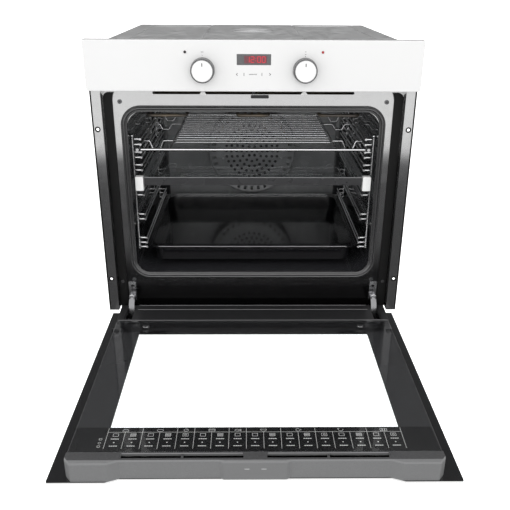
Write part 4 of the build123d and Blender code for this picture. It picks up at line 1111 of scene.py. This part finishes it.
# ---------------------------------------------------------------- cavity
@dataclass
class Cavity:
    """Shapes inside the oven's cavity."""

    half: float = 0.241
    low: float = 0.133
    high: float = 0.469
    back: float = 0.446
    corner: float = 0.034
    cove: float = 0.026
    tray_front: float = 0.0305
    fan_centre: tuple = (0.4102, 0.292)
    fan_screw: float = 0.0735
    wall_screws: tuple = (0.183, 0.205)
    wall_screw_z: float = 0.196
    stud_y: tuple = (0.066, 0.37)
    stud_z: tuple = (0.225, 0.408)
    band_width: float = 427.0
    rims: tuple = (0.0408, 0.3765, 0.3912)
    lamp: tuple = (-0.182, 0.446, 0.423)

    def coves(self) -> None:
        """Rounded rear corners: a quarter arc about (half - cove, back - cove), carried up in Z."""
        t = np.linspace(0, math.pi / 2, 12)
        arc_x = self.half - self.cove + self.cove * np.cos(t)
        arc_y = self.back - self.cove + self.cove * np.sin(t)
        corner = [[self.half - 0.05 * MM, self.back - 0.05 * MM]]
        section = np.vstack([np.stack([arc_x, arc_y], 1) - 0.2 * MM, corner])
        parts = []
        for flat in (section, section[::-1] * (-1, 1)):
            low = np.column_stack([flat, np.full(len(flat), self.low + self.corner)])
            parts.append(prisms(low[None], np.array([0, 0, self.high - self.low - 2 * self.corner])))
        together(parts).piece("cavity_coves", "oven", SHADED_LINER_ENAMEL)

    def screws(self) -> None:
        """Domed screws on the fan cover and the rear wall, and studs for the racks."""
        y, z = self.fan_centre
        places = [(sx * self.fan_screw, y, z + sz * self.fan_screw) for sx in SIGNS for sz in SIGNS]
        places += [(sx * x, self.back, self.wall_screw_z) for sx in SIGNS for x in self.wall_screws]
        heads = [turned(domed(3.5, 1.9, 0.6), place, (0, -1, 0), 20) for place in places]
        stud = np.array([[4.5, 0.0], [4.5, 4.0], [3.2, 6.5], [0.1, 7.0]]) * MM
        studs = [
            turned(stud, (sx * self.half, y, z), (-sx, 0, 0), 20)
            for sx in SIGNS for y in self.stud_y for z in self.stud_z
        ]
        together(heads + studs).piece("cavity_screws_and_studs", "oven", BRIGHT_STEEL_AND_HIGHLIGHT, True)

    def tray_edge_shade(self) -> None:
        """Painted shade and highlight on the glass tray's front: a dark band for the dark look of its thick
        edge, with a pale painted highlight line above it.
        """
        front = facing(self.tray_front)
        # Painted shade: the dark band stands for the dark look of the glass's thick front edge.
        band = front.bars([(0.0, 326.5, self.band_width, 15.0)], 0.0, 0.8 * MM)
        band.piece("tray_edge_shade", "runner_tray", TRAY_EDGE_SHADE)
        # Painted highlight along the top of that edge.
        line = front.bars([(0.0, 334.6, self.band_width, 1.2)], 0.0, 0.9 * MM)
        line.piece("tray_edge_highlight", "runner_tray", GREY_MOULD_AND_HIGHLIGHTS)

    def tray_rim_highlights(self) -> None:
        """Painted highlights along the deep tray's front and rear rims: bright thin rods laid on the rim edges.
        """
        # Painted highlight: the bright rods stand in for light caught on the rim edges.
        beads = [rod((-0.196, y, 0.1841), (0.196, y, 0.1841), 0.6 * MM, 8) for y in self.rims]
        together(beads).piece("deep_tray_rim_highlights", "pan", RUNNER_STEEL_AND_HIGHLIGHT, True)

    def bulb(self) -> None:
        """The lamp behind its glass: r(s) = 6 sin s over a capsule."""
        t = np.linspace(0.05, math.pi - 0.05, 14)
        capsule = np.stack([6.0 * np.sin(t), 9.0 * (1 - np.cos(t)) / 2], axis=1) * MM
        turned(capsule, self.lamp, (0, -1, 0), 24).piece("lamp_bulb", "oven", LAMP_WHITE, True)

    def build(self) -> None:
        """Everything in the cavity."""
        self.coves()
        self.screws()
        self.tray_edge_shade()
        self.tray_rim_highlights()
        self.bulb()


@dataclass
class WireShelf:
    """The wire shelf, with its bars as fine wires."""

    z: float = 0.3856
    half: float = 0.2255
    front: float = 0.047
    back: float = 0.398
    grid: float = 0.162
    bar_front: float = 0.109
    bar_back: float = 0.384
    bars: int = 14
    bar: float = 1.35 * MM
    rail: float = 1.9 * MM
    edge: float = 2.9 * MM
    dips: tuple = ((0.122, 0.0175), (0.288, 0.012), (0.384, 0.012))

    def straight(self, start: tuple, end: tuple, radius: float) -> Surface:
        """A straight wire from one point (x, y) to another, at the shelf's height."""
        return rod((*start, self.z), (*end, self.z), radius, points=2)

    def dipped(self, sign: int, y: float, depth: float) -> Surface:
        """A side wire: its height falls and rises again by cosine ramps, between two rungs.

        Args:
            sign: 1 on the right, -1 on the left.
            y: its place from front to back.
            depth: how far it dips.

        Returns:
            The wire.
        """
        x = np.linspace(self.grid, self.half, 48)
        down = 0.5 - 0.5 * np.cos(np.clip((x - self.grid - 0.021) / 0.010, 0, 1) * math.pi)
        up = 0.5 - 0.5 * np.cos(np.clip((x - self.grid - 0.043) / 0.009, 0, 1) * math.pi)
        path = np.stack([sign * x, np.full(48, y), self.z - depth * (down - up)], axis=1)
        return swept(path, self.rail)

    def build(self) -> None:
        """Every wire of the shelf, in one piece."""
        wires = [self.straight((-self.half, y), (self.half, y), self.edge) for y in (self.front, self.back)]
        for sign in SIGNS:
            x, inner = sign * self.half, sign * self.grid
            wires.append(self.straight((x, self.front - self.edge), (x, self.back + self.edge), self.edge))
            wires.append(self.straight((inner, self.front), (inner, self.back), self.rail))
        steps = np.linspace(self.bar_front, self.bar_back, self.bars)
        wires += [self.straight((-self.grid, y), (self.grid, y), self.bar) for y in steps]
        wires += [self.dipped(sign, y, depth) for sign in SIGNS for y, depth in self.dips]
        made = together(wires).piece("fine_wire_shelf", "shelf", CHROME_WIRE, True)
        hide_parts("wire_shelf")


# ---------------------------------------------------------------- door
class Mode(Enum):
    """The pictures that stand for ways of heating."""

    TOP_AND_BOTTOM = "top and bottom"
    FAN = "fan"
    LINES = "lines"


@dataclass
class CookingTable:
    """The printed table on the door's inner glass: one column for each dish."""

    left: float = -221.0
    right: float = 221.0
    top: float = -391.0
    rule: float = -400.0
    bottom: float = -437.0
    dish_row: float = -395.6
    mode_row: float = -406.4
    dash_rows: tuple = (-415.4, -431.0)
    mark_row: float = -423.2
    columns: int = 17
    groups: tuple = (0, 2, 4, 5, 7, 8, 10, 12, 15, 17)
    modes: tuple = (0, 2, 0, 2, 1, 0, 2, 0, 0, 2, 0, 2, 1, 0, 2, 0, 1)

    def column(self, place: float) -> float:
        """The x of a column's left edge."""
        return self.left + (self.right - self.left) * place / self.columns

    def rules(self) -> list[np.ndarray]:
        """The lines between columns, the header's line and the header's dividers."""
        lines = [np.array([[self.left, self.rule], [self.right, self.rule]])]
        for place in range(self.columns + 1):
            high = self.top if place in self.groups else self.rule
            lines.append(np.array([[self.column(place), high], [self.column(place), self.bottom]]))
        return lines

    def mode(self, kind: Mode, x: float, y: float) -> list[np.ndarray]:
        """A small picture of a way of heating.

        Args:
            kind: the way of heating.
            x: the picture's centre.
            y: the picture's centre.

        Returns:
            Its lines.
        """
        frame_line = [box_lines(x, y, 3.9, 3.1)]
        if kind is Mode.TOP_AND_BOTTOM:
            return frame_line
        if kind is Mode.FAN:
            return frame_line + [arc(x, y, 1.6, 0, 360, 9)]
        return frame_line + [np.array([[x - 3.0, y + d], [x + 3.0, y + d]]) for d in (-1.4, 0.0, 1.4)]

    def dish(self, number: int, x: float, y: float) -> list[np.ndarray]:
        """A generic picture of a dish.

        Args:
            number: 0 to 8 for loaf, roll, cake, tin, fish, bowl, ham, bird and toast.
            x: the picture's centre.
            y: the picture's centre.

        Returns:
            Its lines.
        """
        loaf = [arc(x, y - 2.0, 4.6, 0, 180, 9), np.array([[x - 4.6, y - 2.0], [x + 4.6, y - 2.0]])]
        roll = [arc(x - 2.2, y - 0.4, 2.4, 90, 270, 7), arc(x + 2.2, y - 0.4, 2.4, -90, 90, 7)]
        roll += [np.array([[x - 2.2, y + d], [x + 2.2, y + d]]) for d in (2.0, -2.8)]
        round_cake = [arc(x, y, 3.2, 0, 360, 13), np.array([[x, y], [x + 2.2, y + 2.2]])]
        tin = [box_lines(x, y, 4.6, 2.6), np.array([[x - 4.6, y + 0.6], [x + 4.6, y + 0.6]])]
        fish = [arc(x - 1, y - 2.4, 4.2, 30, 150, 7), arc(x - 1, y + 2.0, 4.2, 210, 330, 7)]
        fish += [np.array([[x + 2.6, y], [x + 5.0, y + 1.8], [x + 5.0, y - 2.2], [x + 2.6, y]])]
        bowl = [arc(x, y + 1.8, 4.6, 180, 360, 9), np.array([[x - 4.6, y + 1.8], [x + 4.6, y + 1.8]])]
        ham = [arc(x, y, 3.0, 40, 320, 9), np.array([[x + 2.3, y + 1.9], [x + 5.2, y], [x + 2.3, y - 1.9]])]
        bird = [arc(x, y + 1.2, 3.8, 170, 370, 9), arc(x - 3.2, y + 2.4, 1.2, 0, 300, 7)]
        toast = [box_lines(x + d, y, 1.5, 2.4) for d in (-3.6, 0.0, 3.6)]
        return (loaf, roll, round_cake, tin, fish, bowl, ham, bird, toast)[number]

    def drawn(self, ink: Ground, base: float) -> Surface:
        """The whole table.

        Args:
            ink: the plane that it is printed on.
            base: the height that the ink starts at, in metres.

        Returns:
            Rules, pictures, and dashes in place of figures.
        """
        lines, dashes, kinds = [], [], list(Mode)
        for place, kind in enumerate(self.modes):
            x = self.column(place + 0.5)
            lines += self.mode(kinds[kind], x, self.mode_row)
            dashes += [(x + d, y, 2.6, 1.5) for y in self.dash_rows for d in (-4.6, -1.5, 1.6, 4.7)]
            dashes += [(x, self.mark_row, 1.7, 2.0)]
        for number, (first, last) in enumerate(zip(self.groups, self.groups[1:])):
            lines += self.dish(number, self.column((first + last) / 2), self.dish_row)
        side = self.left - 8.0
        lines += [box_lines(side, -416.0, 2.0, 1.6), arc(side, -424.5, 2.0, 0, 330)]
        lines += [arc(side, -432.0, 2.2, 0, 360)]
        return ink.strokes(self.rules(), 0.5, base) + ink.strokes(lines, 0.55, base) + ink.bars(dashes, base)


@dataclass
class Door:
    """The door, lying open: printing on its glass and the small parts of its trim and handle."""

    under_glass: float = 0.06394
    half: float = 0.270
    window_half: float = 0.219
    window_rear: float = -0.102
    window_front: float = -0.389
    rear: float = -0.0644
    front: float = -0.4486
    top: float = 0.068
    trim_front: float = -0.470
    slot_y: float = -0.4522
    slot: tuple = (0.018, 0.191)
    foot: tuple = ((0.0005, 0.236), (-0.0176, 0.236), (-0.0625, 0.2685))
    handle: tuple = (0.2335, -0.413, -0.002)
    spring_z: float = 0.0505
    spring_start: float = -0.075
    spring_length: float = 0.055
    coil: float = 4.2 * MM
    turns: int = 14

    def border(self) -> None:
        """The black printed border: four bars round the window, under the inner glass."""
        ground = level(self.under_glass)
        half, inner = self.half / MM, self.window_half / MM
        rear, front = self.rear / MM, self.front / MM
        near, far = self.window_front / MM, self.window_rear / MM
        side = (half + inner) / 2
        pairs = ((rear, far), (near, front))
        ends = [(0.0, (high + low) / 2, 2 * half, high - low) for high, low in pairs]
        edges = [(x, (near + far) / 2, half - inner, far - near) for x in (-side, side)]
        ground.bars(ends, -0.03 * MM).piece("door_glass_border", "door", BLACK_INK_AND_SHADE)
        ground.bars(edges, -0.03 * MM).piece("door_glass_side_border", "door", SIDE_INK)

    def table(self) -> None:
        """The pale table, printed over the border."""
        table = CookingTable().drawn(level(self.under_glass), 0.0)
        table.piece("door_cooking_table", "door", PALE_INK)

    def trim_details(self) -> None:
        """Painted highlights as lighter grey beads along the rear lip of the air slots, and two small marks on
        the centre block.
        """
        start, end = self.slot
        y, z = self.slot_y, self.top + 0.1 * MM
        # Painted highlight on the top edge of each slot's rear wall.
        beads = [rod((sign * start, y, z), (sign * end, y, z), 0.7 * MM) for sign in SIGNS]
        together(beads).piece("slot_lip_highlights", "door", GREY_MOULD_AND_HIGHLIGHTS, True)
        marks = facing(self.trim_front).bars([(sign * 12.0, 55.0, 7.0, 0.7) for sign in SIGNS])
        marks.piece("trim_marks", "door", PALE_INK)

    def foot_edge_highlights(self) -> None:
        """Painted highlights: lighter grey lines along the edges of the door's foot."""
        lines = [rod((-half, y, self.top), (half, y, self.top), 0.55 * MM, 8) for y, half in self.foot]
        together(lines).piece("foot_edge_highlights", "door", GREY_MOULD_AND_HIGHLIGHTS, True)

    def handle_ends(self) -> None:
        """Turned caps on the handle's ends."""
        cap = np.array([[8.15, 0.0], [8.15, 2.2], [7.4, 3.2], [0.1, 3.5]]) * MM
        x, y, z = self.handle
        ends = [turned(cap, (sign * x, y, z), (sign, 0, 0), 40) for sign in SIGNS]
        together(ends).piece("handle_end_caps", "door", GREY_MOULD_AND_HIGHLIGHTS, True)

    def hinge_springs(self) -> None:
        """A coiled spring in each hinge body: p(t) = centre + r (cos t, 0, sin t) + pitch t along Y."""
        t = np.linspace(0, 2 * math.pi * self.turns, 14 * self.turns)
        y = self.spring_start - t / t[-1] * self.spring_length
        path = np.stack([self.coil * np.cos(t), y, self.spring_z + self.coil * np.sin(t)], 1)
        coils = [swept(path + (sign * HINGE_X, 0.0, 0.0), 0.7 * MM, 8) for sign in SIGNS]
        together(coils).piece("hinge_springs", "door", BRIGHT_STEEL_AND_HIGHLIGHT, True)

    def build(self) -> None:
        """Everything on the door."""
        self.border()
        self.table()
        self.trim_details()
        self.foot_edge_highlights()
        self.handle_ends()
        self.hinge_springs()


# ---------------------------------------------------------------- case
@dataclass
class Case:
    """Pressed beads and screws on the outer case."""

    side_x: float = 0.280
    top_z: float = 0.585
    back_y: float = 0.545
    bead: float = 1.6 * MM
    side_screws: tuple = (0.05, 0.29, 0.52)
    rear_screws: tuple = (0.03, 0.2, 0.38, 0.56)
    top_screws: tuple = (0.1, 0.25)
    motor_y: float = 0.345

    def beads(self) -> None:
        """Half-sunk round beads that follow rounded rectangles on the sides, top and rear."""
        loops = []
        rear = Ground((0.0, self.back_y, 0.0), (-1, 0, 0), UP)
        for sign in SIGNS:
            side = Ground((sign * self.side_x, 0.0, 0.0), (0, sign, 0), UP)
            for y in (160.0, 400.0):
                flat = (rounded(90.0, 190.0, 26.0) + (y, 320.0)) * (sign, 1)
                loops.append(swept(side.spot(flat), self.bead, 10, True))
            flat = rounded(70.0, 210.0, 22.0) + (sign * 170.0, 275.0)
            loops.append(swept(level(self.top_z).spot(flat), self.bead * 0.7, 10, True))
            flat = rounded(95.0, 130.0, 22.0) + (sign * 130.0, 285.0)
            loops.append(swept(rear.spot(flat), self.bead, 10, True))
        together(loops).piece("case_beads", "oven", SMOOTH_ZINC, True)

    def screws(self) -> None:
        """Domed screws along the case's edges."""
        places = []
        for sign in SIGNS:
            places += [((sign * self.side_x, y, 0.570), (sign, 0, 0)) for y in self.side_screws]
            places += [((sign * 0.262, self.back_y, z), BACK) for z in self.rear_screws]
            places += [((sign * x, 0.52, self.top_z), UP) for x in self.top_screws]
        head = domed(3.6, 1.6, 0.4)
        parts = [turned(head, place, way, 16) for place, way in places]
        together(parts).piece("case_screws", "oven", BRIGHT_STEEL_AND_HIGHLIGHT, True)

    def motor_cover(self) -> None:
        """Rings pressed into the dished cover over the blower's motor, and a brighter disc in the dish as a
        painted highlight.
        """
        level_ring = np.insert(circle(72), 2, 0.0, axis=1)
        rings = [
            swept(radius * level_ring + (0.0, self.motor_y, height), 1.1 * MM, 10, True)
            for radius, height in ((0.0462, 0.585), (0.034, 0.5815))
        ]
        together(rings).piece("motor_cover_rings", "oven", SMOOTH_ZINC, True)
        # Painted highlight: a brighter disc inside the dish.
        plate = np.array([[43.0, 0.0], [43.0, 0.5], [0.1, 0.5]]) * MM
        cover = turned(plate, (0.0, self.motor_y, 0.5812), UP, 48)
        cover.piece("motor_cover_dish_highlight", "oven", BRIGHT_STEEL_AND_HIGHLIGHT)

    def build(self) -> None:
        """Everything on the case."""
        self.beads()
        self.screws()
        self.motor_cover()


# ---------------------------------------------------------------- studio
@dataclass
class Studio:
    """Floor, lights and camera."""

    floor_z: float = -0.42
    lens: float = 45.17
    eye: tuple = (-0.0112, -1.1813, 0.6907)
    pitch: float = 23.286
    yaw: float = 0.730
    roll: float = 0.281

    def floor(self) -> None:
        """A pale floor that curves up behind into a backdrop; it shows darker in reflections."""
        s = np.linspace(0, 1, 24)
        y = np.concatenate([[-3.0], 2.2 + 1.2 * np.sin(s * math.pi / 2), [3.4]])
        z = self.floor_z + np.concatenate([[0.0], 1.2 * (1 - np.cos(s * math.pi / 2)), [4.5]])
        left = np.stack([np.full(len(y), -5.0), y, z], 1)
        grid = np.stack([left, left * (-1, 1, 1)], axis=1)
        index = np.arange(len(y) * 2).reshape(-1, 2)
        quads = np.stack([index[:-1, 0], index[:-1, 1], index[1:, 1], index[1:, 0]], axis=1)
        mesh = bpy.data.meshes.new("floor")
        mesh.from_pydata(grid.reshape(-1, 3), [], quads.tolist())
        mesh.polygons.foreach_set("use_smooth", np.ones(len(mesh.polygons), bool))
        g = Graph("pale floor")
        glossy = g.node("ShaderNodeLightPath", out="Is Glossy Ray")
        seen = g.node("ShaderNodeLightPath", out="Is Camera Ray")
        base = g.blend(glossy, (0.9, 0.9, 0.9), (0.12, 0.12, 0.12))
        white = (1.0, 1.0, 1.0)
        g.show(g.solid(Base_Color=base, Roughness=0.9, Emission_Color=white, Emission_Strength=seen * 0.9))
        mesh.materials.append(g.material)
        made = bpy.data.objects.new("floor", mesh)
        bpy.context.scene.collection.objects.link(made)

    def light(self, name: str, place: tuple, target: tuple, size: tuple, power: float) -> None:
        """A rectangular soft light.

        Args:
            name: its name.
            place: where it is.
            target: what it points at.
            size: its width and height.
            power: in watts.
        """
        lamp = bpy.data.lights.new(name, "AREA")
        lamp.shape = "RECTANGLE"
        lamp.size, lamp.size_y = size
        lamp.energy = power
        made = bpy.data.objects.new(name, lamp)
        back = np.array(place) - np.array(target)
        back /= np.linalg.norm(back)
        right = np.cross((0, 0, 1), back)
        right /= np.linalg.norm(right)
        turn = np.stack([right, np.cross(back, right), back], axis=1)
        made.matrix_world = Matrix.Translation(place) @ Matrix(turn.tolist()).to_4x4()
        bpy.context.scene.collection.objects.link(made)

    def lights(self) -> None:
        """A white surround, a broad front light, two side strips and one above."""
        world = bpy.data.worlds.new("surround")
        bpy.context.scene.world = world
        world.use_nodes = True
        ground = world.node_tree.nodes["Background"]
        ground.inputs["Color"].default_value = (1.0, 1.0, 1.0, 1.0)
        ground.inputs["Strength"].default_value = 1.0
        self.light("front light", (0.0, -3.2, 1.5), (0.0, 0.2, 0.3), (3.2, 1.6), 20.0)
        self.light("left light", (-2.6, -1.2, 1.6), (0.0, 0.0, 0.3), (1.0, 2.2), 8.0)
        self.light("right light", (2.6, -1.2, 1.6), (0.0, 0.0, 0.3), (1.0, 2.2), 1.5)
        self.light("top light", (0.0, 0.2, 2.6), (0.0, 0.1, 0.3), (2.4, 1.6), 6.0)

    def camera(self) -> None:
        """The camera: turned by yaw, tipped down by pitch, then rolled about its view."""
        bpy.context.scene.view_settings.view_transform = "Standard"
        pitch, yaw, roll = (math.radians(a) for a in (self.pitch, self.yaw, self.roll))
        level = np.array([math.cos(yaw), -math.sin(yaw), 0.0])
        ahead = np.array([math.sin(yaw), math.cos(yaw), 0.0])
        forward = math.cos(pitch) * ahead - math.sin(pitch) * np.array([0.0, 0.0, 1.0])
        above = np.cross(level, forward)
        right = math.cos(roll) * level + math.sin(roll) * above
        turn = np.stack([right, np.cross(right, forward), -forward], axis=1)
        data = bpy.data.cameras.new("camera")
        data.lens = self.lens
        made = bpy.data.objects.new("camera", data)
        made.matrix_world = Matrix.Translation(self.eye) @ Matrix(turn.tolist()).to_4x4()
        bpy.context.scene.collection.objects.link(made)
        bpy.context.scene.camera = made

    def build(self) -> None:
        """Floor, lights and camera."""
        self.floor()
        self.lights()
        self.camera()


def main() -> None:
    """Dress the nodes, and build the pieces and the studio."""
    logging.basicConfig(level=logging.INFO, format="%(name)s: %(message)s")
    for finish, names in NODE_FINISH.items():
        for name in names:
            dressed(name, finish)
    for part in (ControlPanel(), FrontFrame(), Cavity(), WireShelf(), Door(), Case(), Studio()):
        part.build()


if __name__ == "__main__":
    main()
